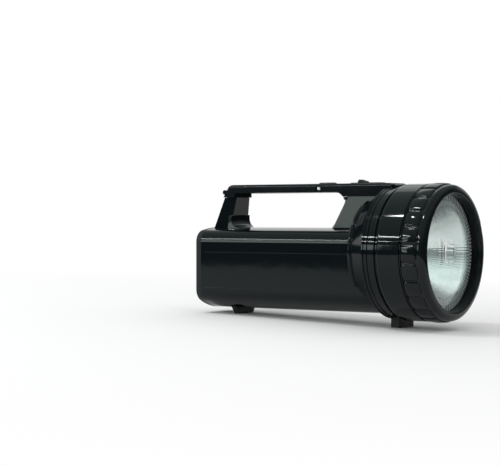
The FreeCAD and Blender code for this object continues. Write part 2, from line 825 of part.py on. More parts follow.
def trigger_winding():
    """The wound wire of the trigger coil, between its two flanges."""
    rear = coil_front()
    sleeve = rod_x(coil_radius - 0.8, rear - coil_length + 2 + axial_gap, rear - 2 - axial_gap)
    return sleeve.cut(rod_x(coil_radius - 2 + running_gap, rear - coil_length, rear))


def rear_bezel():
    """The frame round the control panel, with a spigot that plugs into the body."""
    frame = body_prism(bezel_rear, body_rear)
    rim = [e for e in frame.Edges if e.BoundBox.XMax < bezel_rear + 1e-6]
    frame = frame.makeFillet(bezel_round, rim)
    spigot = body_prism(body_rear - 1, body_rear + spigot_length, -wall - fit_gap)
    frame = frame.fuse(spigot)
    mouth = body_prism(bezel_rear - 1, panel_rear + 1, -bezel_rim)
    pocket = body_prism(panel_rear, body_rear + spigot_length + 1, -wall - fit_gap - spigot_wall)
    plate_seat = body_prism(panel_rear, panel_front + 1.2, -bezel_rim + 1.0)
    return frame.cut(mouth).cut(pocket).cut(plate_seat)


def panel_holes(x_from, x_to, grow=0.0):
    """Every opening that the plate and its label share."""
    length = (x_from, x_to)
    holes = [box(length, (-lcd_window_width / 2, lcd_window_width / 2),
                 (lcd_centre_z - lcd_window_height / 2, lcd_centre_z + lcd_window_height / 2))]
    holes.append(box(length, (range_y - range_slot_length / 2, range_y + range_slot_length / 2),
                     (range_z - range_slot_height / 2, range_z + range_slot_height / 2)))
    for y in (fine_knob_y, coarse_knob_y):
        holes.append(rod_x(bush_radius + fit_gap + grow, x_from, x_to, y, knob_z))
    return holes


def panel_plate():
    plate = body_prism(panel_rear, panel_front, -bezel_rim + 1.0 - fit_gap)
    holes = panel_holes(panel_rear - 1, panel_front + 1)
    for y, z in screw_spots:
        holes.append(rod_x(screw_radius + fit_gap, panel_rear - 1, panel_front + 1, y, z))
        holes.append(rod_x(screw_head_radius + fit_gap, panel_rear - 1, panel_rear + screw_head_depth, y, z))
    return plate.cut(Part.makeCompound(holes))


def panel_label():
    sheet = body_prism(label_rear, panel_rear, -bezel_rim - fit_gap)
    return sheet.cut(Part.makeCompound(panel_holes(label_rear - 1, panel_rear + 1, nut_radius - bush_radius)))


def lcd_window():
    gap = fit_gap
    return box((label_rear + seat_gap, label_rear + seat_gap + window_thickness),
               (-lcd_window_width / 2 + gap, lcd_window_width / 2 - gap),
               (lcd_centre_z - lcd_window_height / 2 + gap, lcd_centre_z + lcd_window_height / 2 - gap))


def lcd_plan(margin):
    half_y = lcd_window_width / 2 + margin
    half_z = lcd_window_height / 2 + margin
    return (-half_y, half_y), (lcd_centre_z - half_z, lcd_centre_z + half_z)


def lcd_glass():
    start = panel_front + axial_gap
    plan = lcd_plan(lcd_glass_margin)
    return box((start, start + lcd_glass_thickness), plan[0], plan[1])


def lcd_frame():
    """A moulded tray that holds the glass against the panel and stands on the board."""
    start = panel_front + axial_gap
    plan = lcd_plan(lcd_frame_margin)
    tray = box((start, board_rear - axial_gap), plan[0], plan[1])
    well = lcd_plan(lcd_glass_margin + fit_gap)
    tray = tray.cut(box((start - 1, start + lcd_glass_thickness + axial_gap), well[0], well[1]))
    hollow = lcd_plan(-lcd_frame_rail)
    return tray.cut(box((start, board_rear + 1), hollow[0], hollow[1]))


def control_board():
    board = body_prism(board_rear, board_front, -board_margin)
    board = board.common(box((board_rear, board_front), (-body_half_width, body_half_width),
                             (body_bottom, board_top)))
    holes = [rod_x(screw_radius + fit_gap, board_rear - 1, board_front + 1, y, z) for y, z in screw_spots]
    return board.cut(Part.makeCompound(holes))


def board_spacers():
    spacers = []
    for y, z in screw_spots:
        post = rod_x(spacer_radius, panel_front + axial_gap, board_rear - axial_gap, y, z)
        spacers.append(post.cut(rod_x(screw_radius + fit_gap, panel_front, board_rear, y, z)))
    return Part.makeCompound(spacers)


def panel_screws():
    screws = []
    for y, z in screw_spots:
        head = rod_x(screw_head_radius, panel_rear + axial_gap, panel_rear + screw_head_depth, y, z)
        shank = rod_x(screw_radius - running_gap, panel_rear + screw_head_depth - 0.2,
                      board_front + boss_length - 4, y, z)
        slot = box((panel_rear, panel_rear + axial_gap + 0.5), (y - screw_head_radius, y + screw_head_radius),
                   (z - 0.3, z + 0.3))
        screws.append(head.fuse(shank).cut(slot))
    return Part.makeCompound(screws)


def potentiometer(y):
    start = panel_front + axial_gap
    case = rod_x(pot_radius, start, board_rear - axial_gap, y, knob_z)
    bush = rod_x(bush_radius, label_rear - bush_stand, start + 1, y, knob_z)
    bore = rod_x(shaft_radius + running_gap, label_rear - bush_stand - 1, board_rear - 3.0, y, knob_z)
    return case.fuse(bush).cut(bore)


def pot_shaft(y):
    return rod_x(shaft_radius, label_rear - knob_stand - knob_height + 2.4, board_rear - 3.4, y, knob_z)


def pot_nuts():
    nuts = []
    for y in (fine_knob_y, coarse_knob_y):
        points = [V(panel_rear - axial_gap, y + nut_radius * math.cos(math.radians(60 * i)),
                    knob_z + nut_radius * math.sin(math.radians(60 * i))) for i in range(6)]
        face = Part.Face(Part.makePolygon(points + [points[0]]))
        nut = face.extrude(V(-nut_thickness, 0, 0))
        nuts.append(nut.cut(rod_x(bush_radius + running_gap, panel_rear, panel_rear - nut_thickness - 1,
                                  y, knob_z)))
    return Part.makeCompound(nuts)


def knob(y):
    """A turned knob: flange, faceted cone, a fine groove and a flat spun face."""
    base = label_rear - knob_stand
    nose = base - knob_height

    def polygon(x, radius):
        points = [V(x, radius * math.cos(2 * math.pi * i / knob_facets),
                    radius * math.sin(2 * math.pi * i / knob_facets)) for i in range(knob_facets)]
        return Part.makePolygon(points + [points[0]])

    flange = turned([(base, 0), (base, knob_radius - 0.3), (base - 0.4, knob_radius),
                     (base - knob_flange + 0.3, knob_radius),
                     (base - knob_flange, knob_radius - 0.6), (base - knob_flange, 0)])
    cone_end = nose + knob_nose_step
    cone = Part.makeLoft([polygon(base - knob_flange + 0.2, knob_waist_radius),
                          polygon(cone_end, knob_nose_radius)], True, True)
    face_radius = knob_nose_radius - 0.5
    cap = turned([(cone_end + 0.4, 0), (cone_end + 0.4, face_radius - 0.3), (cone_end - 0.5, face_radius - 0.3),
                  (cone_end - 0.8, face_radius + 0.3), (nose + 0.9, face_radius), (nose, face_radius - 0.9),
                  (nose, 0)])
    body = flange.multiFuse([cone, cap])
    pocket = rod_x(nut_pocket_radius, base - nut_pocket_depth, base + 1)
    bore = rod_x(shaft_radius + running_gap, nose + 2.0, base + 1)
    body = body.cut(pocket).cut(bore)
    body.translate(V(0, y, knob_z))
    return body


def range_switch():
    start = panel_front + axial_gap
    half = range_body_length / 2
    case = box((start, board_rear - axial_gap), (range_y - half, range_y + half),
               (range_z - range_body_height / 2, range_z + range_body_height / 2))
    return case.cut(range_track(seat_gap))


def range_track(gap):
    start = panel_front
    half = range_slot_length / 2 + gap
    high = range_slot_height / 2 + gap
    return box((start - 1, start + 4), (range_y - half, range_y + half), (range_z - high, range_z + high))


def range_slider():
    """The switch's slider, shown at the end of its travel next to the fine knob."""
    side_play = (range_slot_length - range_slider_length - range_travel) / 2
    left = range_y + range_slot_length / 2 - side_play
    high = range_slot_height / 2 - fit_gap
    top = label_rear - range_slider_stand
    body = box((top, panel_front + 3.6), (left - range_slider_length, left), (range_z - high, range_z + high))
    cuts = []
    for step in range(4):
        y = left - range_slider_length * (step + 1) / 5.0
        cuts.append(box((top - 1, top + 0.6), (y - 0.35, y + 0.35), (range_z - high - 1, range_z + high + 1)))
    return body.cut(Part.makeCompound(cuts))


def board_screw_spots():
    y = body_half_width - wall - ledge_width / 2
    rear, front = power_board_x
    return [(x, side * y) for x in (rear + board_screw_inset, front - board_screw_inset) for side in (-1, 1)]


def power_board():
    half = body_half_width - wall - 0.8
    board = box(power_board_x, (-half, half), (power_board_z + axial_gap, power_board_z + board_thickness))
    holes = [Part.makeCylinder(screw_radius + fit_gap, 6, V(x, y, power_board_z - 2))
             for x, y in board_screw_spots()]
    return board.cut(Part.makeCompound(holes))


def board_screws():
    screws = []
    top = power_board_z + board_thickness + axial_gap
    for x, y in board_screw_spots():
        head = Part.makeCylinder(screw_head_radius, screw_head_depth, V(x, y, top))
        shank = Part.makeCylinder(screw_radius - running_gap, board_thickness + ledge_height - 1.0,
                                  V(x, y, top - board_thickness - ledge_height + 1.2))
        slot = box((x - screw_head_radius, x + screw_head_radius), (y - 0.3, y + 0.3),
                   (top + screw_head_depth - 0.5, top + screw_head_depth + 1))
        screws.append(head.fuse(shank).cut(slot))
    return Part.makeCompound(screws)


def storage_capacitor():
    """A can with a rolled groove near one end, lying on the power board."""
    rear = capacitor_x
    front = capacitor_x + capacitor_length
    radius = capacitor_radius
    groove = [(rear + 3.2, radius), (rear + 3.8, radius - 0.6), (rear + 4.2, radius - 0.6), (rear + 4.8, radius)]
    outline = [(rear, 0), (rear, radius - 0.8), (rear + 0.8, radius)] + groove
    outline += [(front - 0.8, radius), (front, radius - 0.8), (front, 0)]
    can = turned(outline)
    can.translate(V(0, -12.0, power_board_z + board_thickness + radius + axial_gap))
    return can


def inverter_transformer():
    """A ferrite frame round a wound bobbin."""
    length, width, height = transformer_size
    floor = power_board_z + board_thickness + axial_gap
    core = box((transformer_x, transformer_x + length), (-width / 2, width / 2), (floor, floor + height))
    gap = box((transformer_x + 5, transformer_x + length - 5), (-width, width), (floor + 3, floor + height - 3))
    coil = box((transformer_x + 6, transformer_x + length - 6), (-width / 2 - 2, width / 2 + 2),
               (floor + 2, floor + height - 2))
    edges = [e for e in coil.Edges if e.BoundBox.YLength > width / 2]
    return core.cut(gap).fuse(coil.makeFillet(2.0, edges))


def battery_pack():
    body = box(battery_x, (-battery_half_width, battery_half_width),
               (battery_floor + axial_gap, battery_floor + battery_height))
    edges = [e for e in body.Edges if e.BoundBox.XLength > battery_height]
    body = body.makeFillet(1.5, edges)
    lid_z = battery_floor + battery_height - 4
    seam = box((battery_x[0] - 1, battery_x[1] + 1), (-battery_half_width - 1, battery_half_width + 1),
               (lid_z, lid_z + 0.6))
    core = box((battery_x[0] + 0.5, battery_x[1] - 0.5), (-battery_half_width + 0.5, battery_half_width - 0.5),
               (lid_z - 1, lid_z + 2))
    return body.cut(seam.cut(core))


def battery_tabs():
    """Two flat terminals on the battery's lid."""
    top = battery_floor + battery_height + axial_gap
    tabs = []
    for side in (-1, 1):
        y = side * battery_half_width * 0.55
        foot = box((battery_x[0] + 6, battery_x[0] + 13), (y - 2.4, y + 2.4), (top, top + 0.8))
        blade = box((battery_x[0] + 6, battery_x[0] + 6.8), (y - 2.4, y + 2.4), (top, top + 6.0))
        tabs.append(foot.fuse(blade))
    return Part.makeCompound(tabs)


def battery_strap():
    """A pressed band across the battery, its feet on the middle cradle rib."""
    x = cradle_x[1]
    half = battery_half_width + seat_gap
    top = battery_floor + battery_height + seat_gap
    thick = 0.8
    span = (x - 6, x + 6)
    band = box(span, (-half - thick, half + thick), (battery_floor + cradle_cheek + axial_gap, top + thick))
    return band.cut(box((x - 7, x + 7), (-half, half), (battery_floor - 1, top)))


def front_foot():
    ground = -head_radius - front_foot_drop
    block = box(front_foot_x, (-front_foot_width / 2, front_foot_width / 2), (ground - 3, -lip_radius))
    upright = [e for e in block.Edges if e.BoundBox.ZLength > 1]
    block = block.makeFillet(1.5, upright)
    return block.cut(head_envelope(fit_gap + axial_gap)).cut(ground_block())


def rear_foot():
    """A low trapezoid cleat across the underside with a peg into the housing."""
    lower = body_bottom - rear_foot_drop
    top_half = rear_foot_top_width / 2
    half = rear_foot_width / 2
    rise = 5.0
    spread = (top_half - half) / rear_foot_drop
    points = [(-top_half - spread * rise, body_bottom + rise), (top_half + spread * rise, body_bottom + rise)]
    points += [(half - spread * 3, lower - 3), (-half + spread * 3, lower - 3)]
    wire = [V(rear_foot_x[0], y, z) for y, z in points]
    cleat = Part.Face(Part.makePolygon(wire + [wire[0]])).extrude(V(rear_foot_x[1] - rear_foot_x[0], 0, 0))
    cleat = cleat.cut(body_prism(body_rear, body_rear / 2, fit_gap))
    cleat = cleat.cut(box((body_rear, 0), (-body_half_width, body_half_width), (body_bottom + 10, body_top)))
    notch = box(rear_foot_x, (-1.5, 1.5), (lower - 4, lower + 1.2))
    peg = Part.makeCylinder(foot_peg_radius, foot_peg_length, V(sum(rear_foot_x) / 2, 0, body_bottom - 1))
    return cleat.cut(notch).cut(ground_block()).fuse(peg)


def ground_points():
    front_z = -head_radius - front_foot_drop
    rear_z = body_bottom - rear_foot_drop
    return (sum(front_foot_x) / 2, front_z), (sum(rear_foot_x) / 2, rear_z)


def rest_tilt():
    """How far the beam points up when both feet stand on level ground, in degrees."""
    front, rear = ground_points()
    return math.degrees(math.atan2(rear[1] - front[1], front[0] - rear[0]))


def ground_block():
    """Everything below the line through the two feet."""
    front, rear = ground_points()
    block = box((-400, 400), (-200, 200), (-200, 0))
    block.rotate(V(0, 0, 0), Y_AXIS, rest_tilt())
    slope = (rear[1] - front[1]) / (rear[0] - front[0])
    block.translate(V(0, 0, front[1] - slope * front[0]))
    return block


def parts_in_place():
    """Every node in the working frame."""
    return {
        "body_housing": body_housing(),
        "head_housing": head_housing(),
        "head_ring": head_ring(),
        "lens": lens(),
        "lens_gasket": lens_gasket(),
        "reflector": reflector(),
        "tube_socket": tube_socket(),
        "xenon_tube": xenon_tube(),
        "lamp_dome": lamp_dome(),
        "trigger_coil": trigger_coil(),
        "trigger_winding": trigger_winding(),
        "grip_cover": grip_cover(),
        "grip_pin": grip_pin(),
        "slider_plate": slider_plate(),
        "thumb_slider": thumb_slider(),
        "power_switch": power_switch(),
        "rear_bezel": rear_bezel(),
        "panel_plate": panel_plate(),
        "panel_label": panel_label(),
        "panel_screws": panel_screws(),
        "lcd_window": lcd_window(),
        "lcd_glass": lcd_glass(),
        "lcd_frame": lcd_frame(),
        "control_board": control_board(),
        "board_spacers": board_spacers(),
        "fine_knob": knob(fine_knob_y),
        "coarse_knob": knob(coarse_knob_y),
        "fine_shaft": pot_shaft(fine_knob_y),
        "coarse_shaft": pot_shaft(coarse_knob_y),
        "fine_potentiometer": potentiometer(fine_knob_y),
        "coarse_potentiometer": potentiometer(coarse_knob_y),
        "pot_nuts": pot_nuts(),
        "range_switch": range_switch(),
        "range_slider": range_slider(),
        "power_board": power_board(),
        "board_screws": board_screws(),
        "storage_capacitor": storage_capacitor(),
        "inverter_transformer": inverter_transformer(),
        "battery_pack": battery_pack(),
        "battery_tabs": battery_tabs(),
        "battery_strap": battery_strap(),
        "front_foot": front_foot(),
        "rear_foot": rear_foot(),
    }


def main():
    os.makedirs("parts", exist_ok=True)
    shapes = parts_in_place()
    for shape in shapes.values():
        shape.rotate(V(0, 0, 0), Y_AXIS, -rest_tilt())
    whole = FreeCAD.BoundBox()
    for shape in shapes.values():
        whole.add(shape.optimalBoundingBox(False, False))
    shift = V(-(whole.XMin + whole.XMax) / 2, 0, -whole.ZMin)
    for name, shape in shapes.items():
        shape.translate(shift)
        shape.exportStep("parts/" + name + ".step")
        print(name, "solids", len(shape.Solids), "volume %.1f" % shape.Volume, "valid", shape.isValid())
    print("size %.1f %.1f %.1f" % (whole.XLength, whole.YLength, whole.ZLength))
    print("tilt %.4f shift x %.4f z %.4f head radius %.3f" % (rest_tilt(), shift.x, shift.z, head_radius))


main()
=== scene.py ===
import json
import math

import bmesh
import bpy
from mathutils import Matrix, Vector


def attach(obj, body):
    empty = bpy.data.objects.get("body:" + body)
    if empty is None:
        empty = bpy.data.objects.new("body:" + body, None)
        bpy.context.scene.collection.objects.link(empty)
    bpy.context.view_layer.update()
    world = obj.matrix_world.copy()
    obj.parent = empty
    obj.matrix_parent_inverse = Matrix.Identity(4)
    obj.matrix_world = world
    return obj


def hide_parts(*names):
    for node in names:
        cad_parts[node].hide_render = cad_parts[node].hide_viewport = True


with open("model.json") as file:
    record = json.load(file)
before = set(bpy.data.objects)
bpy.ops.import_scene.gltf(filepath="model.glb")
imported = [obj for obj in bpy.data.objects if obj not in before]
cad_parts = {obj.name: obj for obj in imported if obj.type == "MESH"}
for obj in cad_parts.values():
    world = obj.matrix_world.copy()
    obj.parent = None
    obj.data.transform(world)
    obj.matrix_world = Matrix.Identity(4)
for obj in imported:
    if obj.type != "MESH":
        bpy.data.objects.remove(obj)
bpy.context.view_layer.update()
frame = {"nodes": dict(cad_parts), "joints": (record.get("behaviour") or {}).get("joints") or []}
nodes = frame["nodes"]
mm = 0.001
ringJointSetback = 11
fullTurn = 2 * math.pi
plainWhite = (1, 1, 1, 1)
knobSpots = {"fine": (0.0, 5.6), "coarse": (22.4, 5.6)}  # mm across and up

# The lamp's own directions come from the ring's joint, which turns about the beam.
# Its place is 11 mm behind the ring's front face.
ringJoint = next(j for j in frame["joints"] if j["name"] == "ring_turn")
beam = Vector(ringJoint["axis"]).normalized()
across = Vector((0, 1, 0))
upward = beam.cross(across).normalized()
ringFace = Vector(ringJoint["pos_m"]) + beam * ringJointSetback * mm
lampTurn = Matrix((beam, across, upward)).transposed()


# Mm along the beam, to the operator's left and up from the middle of the ring's front face
def lampPoint(x, y, z):
    return ringFace + lampTurn @ Vector((x, y, z)) * mm


def srgb(r, g, b):
    levels = [v / 255 for v in (r, g, b)]
    return tuple([v / 12.92 if v <= 0.04045 else ((v + 0.055) / 1.055) ** 2.4 for v in levels] + [1.0])


print("frame loaded,", len(nodes), "nodes")


# Small helpers for shader trees

def newMaterial(name):
    mat = bpy.data.materials.new(name)
    mat.use_nodes = True
    tree = mat.node_tree
    tree.nodes.clear()
    out = tree.nodes.new("ShaderNodeOutputMaterial")
    shader = tree.nodes.new("ShaderNodeBsdfPrincipled")
    tree.links.new(shader.outputs["BSDF"], out.inputs["Surface"])
    return mat, tree, shader


def node(tree, kind, **settings):
    made = tree.nodes.new(kind)
    for key, value in settings.items():
        setattr(made, key, value)
    return made


def feed(tree, target, value):
    if isinstance(value, bpy.types.NodeSocket):
        tree.links.new(value, target)
    else:
        target.default_value = value


def math2(tree, operation, a, b=0.0, clamp=False):
    made = node(tree, "ShaderNodeMath", operation=operation, use_clamp=clamp)
    feed(tree, made.inputs[0], a)
    feed(tree, made.inputs[1], b)
    return made.outputs[0]


def blendColour(tree, mask, a, b):
    made = node(tree, "ShaderNodeMix", data_type="RGBA")
    feed(tree, made.inputs["Factor"], mask)
    feed(tree, made.inputs[6], a)
    feed(tree, made.inputs[7], b)
    return made.outputs[2]


def ramp(tree, value, low, high, a=0.0, b=1.0):
    made = node(tree, "ShaderNodeMapRange")
    feed(tree, made.inputs["Value"], value)
    feed(tree, made.inputs["From Min"], low)
    feed(tree, made.inputs["From Max"], high)
    feed(tree, made.inputs["To Min"], a)
    feed(tree, made.inputs["To Max"], b)
    return made.outputs["Result"]


def noise(tree, vector, scale, detail=2.0, rough=0.5):
    made = node(tree, "ShaderNodeTexNoise")
    feed(tree, made.inputs["Vector"], vector)
    made.inputs["Scale"].default_value = scale
    made.inputs["Detail"].default_value = detail
    made.inputs["Roughness"].default_value = rough
    return made.outputs["Fac"]


def bump(tree, shader, height, distance, strength=1.0):
    made = node(tree, "ShaderNodeBump")
    feed(tree, made.inputs["Height"], height)
    made.inputs["Distance"].default_value = distance
    made.inputs["Strength"].default_value = strength
    tree.links.new(made.outputs["Normal"], shader.inputs["Normal"])


# Inputs and outputs are (name, socket type, default or None)
def newGroup(name, inputs, outputs):
    tree = bpy.data.node_groups.new(name, "ShaderNodeTree")
    for label, kind, default in inputs:
        made = tree.interface.new_socket(label, in_out="INPUT", socket_type=kind)
        if default is not None:
            made.default_value = default
    for label, kind in outputs:
        tree.interface.new_socket(label, in_out="OUTPUT", socket_type=kind)
    return tree, tree.nodes.new("NodeGroupInput"), tree.nodes.new("NodeGroupOutput")


def useGroup(tree, group, **values):
    made = node(tree, "ShaderNodeGroup", node_tree=group)
    for label, value in values.items():
        feed(tree, made.inputs[label], value)
    return made


# Shader groups that several finishes share

# Mm along the beam, across and up, measured from the ring's front face
def makeLampCoordinates():
    tree, _, out = newGroup("lampCoordinates", [],
                            [("Along", "NodeSocketFloat"), ("Across", "NodeSocketFloat"),
                             ("Up", "NodeSocketFloat"), ("Position", "NodeSocketVector")])
    coord = node(tree, "ShaderNodeTexCoord")
    shifted = node(tree, "ShaderNodeVectorMath", operation="SUBTRACT")
    tree.links.new(coord.outputs["Object"], shifted.inputs[0])
    shifted.inputs[1].default_value = ringFace
    joined = node(tree, "ShaderNodeCombineXYZ")
    for label, axis, slot in (("Along", beam, 0), ("Across", across, 1), ("Up", upward, 2)):
        dot = node(tree, "ShaderNodeVectorMath", operation="DOT_PRODUCT")
        tree.links.new(shifted.outputs["Vector"], dot.inputs[0])
        dot.inputs[1].default_value = axis / mm
        tree.links.new(dot.outputs["Value"], out.inputs[label])
        tree.links.new(dot.outputs["Value"], joined.inputs[slot])
    tree.links.new(joined.outputs["Vector"], out.inputs["Position"])
    return tree


skinPlan = {"waveScale": 0.06, "smearScale": 0.05, "smearSpan": (0.35, 0.75), "speckScale": 0.42,
            "speckSpan": (0.045, 0.09), "patchScale": 0.03, "patchSpan": (0.5, 0.68)}


# The slight waviness, fine grain, smears and dust of moulded plastic
def makeMouldedSkin():
    tree, given, out = newGroup("mouldedSkin",
                                [("Grain Scale", "NodeSocketFloat", 2.0), ("Grain", "NodeSocketFloat", 0.2),
                                 ("Wave", "NodeSocketFloat", 0.3), ("Dust", "NodeSocketFloat", 0.3)],
                                [("Height", "NodeSocketFloat"), ("Smear", "NodeSocketFloat"),
                                 ("Dust", "NodeSocketFloat")])
    place = useGroup(tree, lampCoordinates).outputs["Position"]
    scaled = node(tree, "ShaderNodeVectorMath", operation="SCALE")
    tree.links.new(place, scaled.inputs[0])
    tree.links.new(given.outputs["Grain Scale"], scaled.inputs["Scale"])
    grain = math2(tree, "MULTIPLY", noise(tree, scaled.outputs["Vector"], 1.0, 3.0), given.outputs["Grain"])
    wave = math2(tree, "MULTIPLY", noise(tree, place, skinPlan["waveScale"], 1.0), given.outputs["Wave"])
    tree.links.new(math2(tree, "ADD", grain, wave), out.inputs["Height"])
    smear = ramp(tree, noise(tree, place, skinPlan["smearScale"], 4.0, 0.6), *skinPlan["smearSpan"])
    tree.links.new(smear, out.inputs["Smear"])
    specks = node(tree, "ShaderNodeTexVoronoi", feature="F1")
    feed(tree, specks.inputs["Vector"], place)
    specks.inputs["Scale"].default_value = skinPlan["speckScale"]
    near = ramp(tree, specks.outputs["Distance"], *skinPlan["speckSpan"], 1.0, 0.0)
    patchy = ramp(tree, noise(tree, place, skinPlan["patchScale"], 3.0), *skinPlan["patchSpan"])
    dust = math2(tree, "MULTIPLY", math2(tree, "MULTIPLY", near, patchy), given.outputs["Dust"], True)
    tree.links.new(dust, out.inputs["Dust"])
    return tree


latheWobble = {"scale": 0.8, "size": 0.3}


# Fine rings round an axis along the beam, as a lathe leaves them
def makeTurnedRings():
    tree, given, out = newGroup("turnedRings",
                                [("Across", "NodeSocketFloat", 0.0), ("Up", "NodeSocketFloat", 0.0),
                                 ("Pitch", "NodeSocketFloat", 0.25)],
                                [("Height", "NodeSocketFloat"), ("Radius", "NodeSocketFloat")])
    lamp = useGroup(tree, lampCoordinates)
    du = math2(tree, "SUBTRACT", lamp.outputs["Across"], given.outputs["Across"])
    dv = math2(tree, "SUBTRACT", lamp.outputs["Up"], given.outputs["Up"])
    squares = math2(tree, "ADD", math2(tree, "MULTIPLY", du, du), math2(tree, "MULTIPLY", dv, dv))
    radius = math2(tree, "SQRT", squares)
    uneven = noise(tree, lamp.outputs["Position"], latheWobble["scale"], 2.0)
    wobble = math2(tree, "MULTIPLY", uneven, latheWobble["size"])
    turns = math2(tree, "DIVIDE", math2(tree, "ADD", radius, wobble), given.outputs["Pitch"])
    tree.links.new(math2(tree, "SINE", math2(tree, "MULTIPLY", turns, fullTurn)), out.inputs["Height"])
    tree.links.new(radius, out.inputs["Radius"])
    return tree


lampCoordinates = makeLampCoordinates()
mouldedSkin = makeMouldedSkin()
turnedRings = makeTurnedRings()


# Finishes

plasticPlan = {"dustKeeps": 0.6, "dustLifts": 0.08, "smearRough": 1.35, "dustRough": 0.3}


# Moulded plastic; bumpHeight is in mm
def plasticFinish(name, colour, rough, grainScale, grain, wave, dust, specular=0.5, bumpHeight=0.05):
    mat, tree, shader = newMaterial(name)
    amounts = {"Grain Scale": grainScale, "Grain": grain, "Wave": wave, "Dust": dust}
    skin = useGroup(tree, mouldedSkin, **amounts)
    dusty = tuple([c * plasticPlan["dustKeeps"] + plasticPlan["dustLifts"] for c in colour[:3]] + [1.0])
    tree.links.new(blendColour(tree, skin.outputs["Dust"], colour, dusty), shader.inputs["Base Color"])
    level = ramp(tree, skin.outputs["Smear"], 0.0, 1.0, rough, rough * plasticPlan["smearRough"])
    matt = math2(tree, "MULTIPLY", skin.outputs["Dust"], plasticPlan["dustRough"])
    tree.links.new(math2(tree, "ADD", level, matt, True), shader.inputs["Roughness"])
    shader.inputs["Specular IOR Level"].default_value = specular
    bump(tree, shader, skin.outputs["Height"], bumpHeight * mm)
    return mat


metalPlan = {"cloudScale": 0.35, "cloudSpan": (0.35, 0.7), "grainScale": 6.0, "grainSpan": (0.3, 0.7),
             "cloudKeeps": 0.78, "streak": 0.2, "height": 0.02}


def metalFinish(name, colour, rough):
    s = metalPlan
    mat, tree, shader = newMaterial(name)
    lamp = useGroup(tree, lampCoordinates)
    cloudy = noise(tree, lamp.outputs["Position"], s["cloudScale"], 4.0, 0.6)
    fine = noise(tree, lamp.outputs["Position"], s["grainScale"], 3.0)
    darker = tuple([c * s["cloudKeeps"] for c in colour[:3]] + [1.0])
    mask = ramp(tree, cloudy, *s["cloudSpan"])
    tree.links.new(blendColour(tree, mask, colour, darker), shader.inputs["Base Color"])
    level = ramp(tree, fine, *s["grainSpan"], rough * (1 - s["streak"]), rough * (1 + s["streak"]))
    tree.links.new(level, shader.inputs["Roughness"])
    shader.inputs["Metallic"].default_value = 1.0
    bump(tree, shader, fine, s["height"] * mm)
    return mat


turnedPlan = {"pitch": 0.42, "cloudScale": 0.5, "cloudSpan": (0.3, 0.75), "light": srgb(222, 224, 227),
              "dark": srgb(184, 187, 192), "roughSpan": (0.3, 0.7), "rough": (0.27, 0.4), "height": 0.012}


# Satin aluminium, ringed by the lathe round each of two (across, up) spots in mm
def turnedFinish(name, spots):
    s = turnedPlan
    mat, tree, shader = newMaterial(name)
    lamp = useGroup(tree, lampCoordinates)
    split = math2(tree, "GREATER_THAN", lamp.outputs["Across"], (spots[0][0] + spots[1][0]) / 2)
    rings = [useGroup(tree, turnedRings, Across=a, Up=u, Pitch=s["pitch"]) for a, u in spots]
    pick = node(tree, "ShaderNodeMix", data_type="FLOAT")
    feed(tree, pick.inputs[0], split)
    feed(tree, pick.inputs[2], rings[0].outputs["Height"])
    feed(tree, pick.inputs[3], rings[1].outputs["Height"])
    cloudy = noise(tree, lamp.outputs["Position"], s["cloudScale"], 4.0, 0.65)
    mask = ramp(tree, cloudy, *s["cloudSpan"])
    tree.links.new(blendColour(tree, mask, s["light"], s["dark"]), shader.inputs["Base Color"])
    tree.links.new(ramp(tree, cloudy, *s["roughSpan"], *s["rough"]), shader.inputs["Roughness"])
    shader.inputs["Metallic"].default_value = 1.0
    bump(tree, shader, pick.outputs[0], s["height"] * mm)
    return mat


glassClouds = {"scale": 0.07, "span": (0.4, 0.8)}


def glassFinish(name, tint, rough, ior, smear):
    mat, tree, shader = newMaterial(name)
    lamp = useGroup(tree, lampCoordinates)
    cloudy = noise(tree, lamp.outputs["Position"], glassClouds["scale"], 4.0, 0.6)
    level = ramp(tree, cloudy, *glassClouds["span"], rough, rough + smear)
    tree.links.new(level, shader.inputs["Roughness"])
    shader.inputs["Base Color"].default_value = tint
    shader.inputs["IOR"].default_value = ior
    shader.inputs["Transmission Weight"].default_value = 1.0
    return mat


fluteFinishShape = {"count": 96, "innerEnd": 49.1, "clear": 0.1, "rough": 0.1, "ior": 1.5,
                    "crest": (-0.6, 0.1), "paintedHighlightInner": srgb(232, 240, 238),
                    "paintedHighlightOuter": srgb(252, 254, 253), "paintedShadeInner": srgb(150, 164, 166),
                    "paintedShadeOuter": srgb(60, 72, 76)}


# The pressed flutes, with a painted highlight on each crest and painted shade in each valley, fainter in the
# inner row
def fluteFinish():
    s = fluteFinishShape
    mat, tree, shader = newMaterial("flutedGlassPaintedLight")
    rings = useGroup(tree, turnedRings, Across=0.0, Up=0.0, Pitch=2.0)
    lamp = useGroup(tree, lampCoordinates)
    turn = math2(tree, "ARCTAN2", lamp.outputs["Up"], lamp.outputs["Across"])
    outer = math2(tree, "GREATER_THAN", rings.outputs["Radius"], s["innerEnd"])
    halfStep = math2(tree, "MULTIPLY", outer, math.pi)
    phase = math2(tree, "ADD", math2(tree, "MULTIPLY", turn, s["count"]), halfStep)
    wave = math2(tree, "COSINE", phase)
    # Painted highlight on every flute's crest and painted shade in its valley; the clear glass has no such
    # stripes of its own
    crest = ramp(tree, wave, *s["crest"])
    bright = blendColour(tree, outer, s["paintedHighlightInner"], s["paintedHighlightOuter"])
    grey = blendColour(tree, outer, s["paintedShadeInner"], s["paintedShadeOuter"])
    tree.links.new(blendColour(tree, crest, grey, bright), shader.inputs["Base Color"])
    shader.inputs["Roughness"].default_value = s["rough"]
    shader.inputs["IOR"].default_value = s["ior"]
    shader.inputs["Transmission Weight"].default_value = s["clear"]
    return mat


stripeShape = {
    "blueTop": (7.9, -55.1), "blueBottom": (-25.6, 17.0), "blueHalfTop": 5.9, "blueHalfBottom": 3.4,
    "paleTop": (35.7, -36.4), "paleBottom": (-9.3, 19.0), "edge": 0.06, "mottleScale": 1.6,
    "gold": (srgb(150, 124, 38), srgb(139, 113, 32)), "grey": (srgb(146, 158, 180), srgb(137, 150, 172)),
    "sky": (srgb(44, 168, 208), srgb(38, 158, 200)), "rough": (0.34, 0.42), "specular": 0.4,
    "grainScale": 3.0, "grain": 0.01,
}


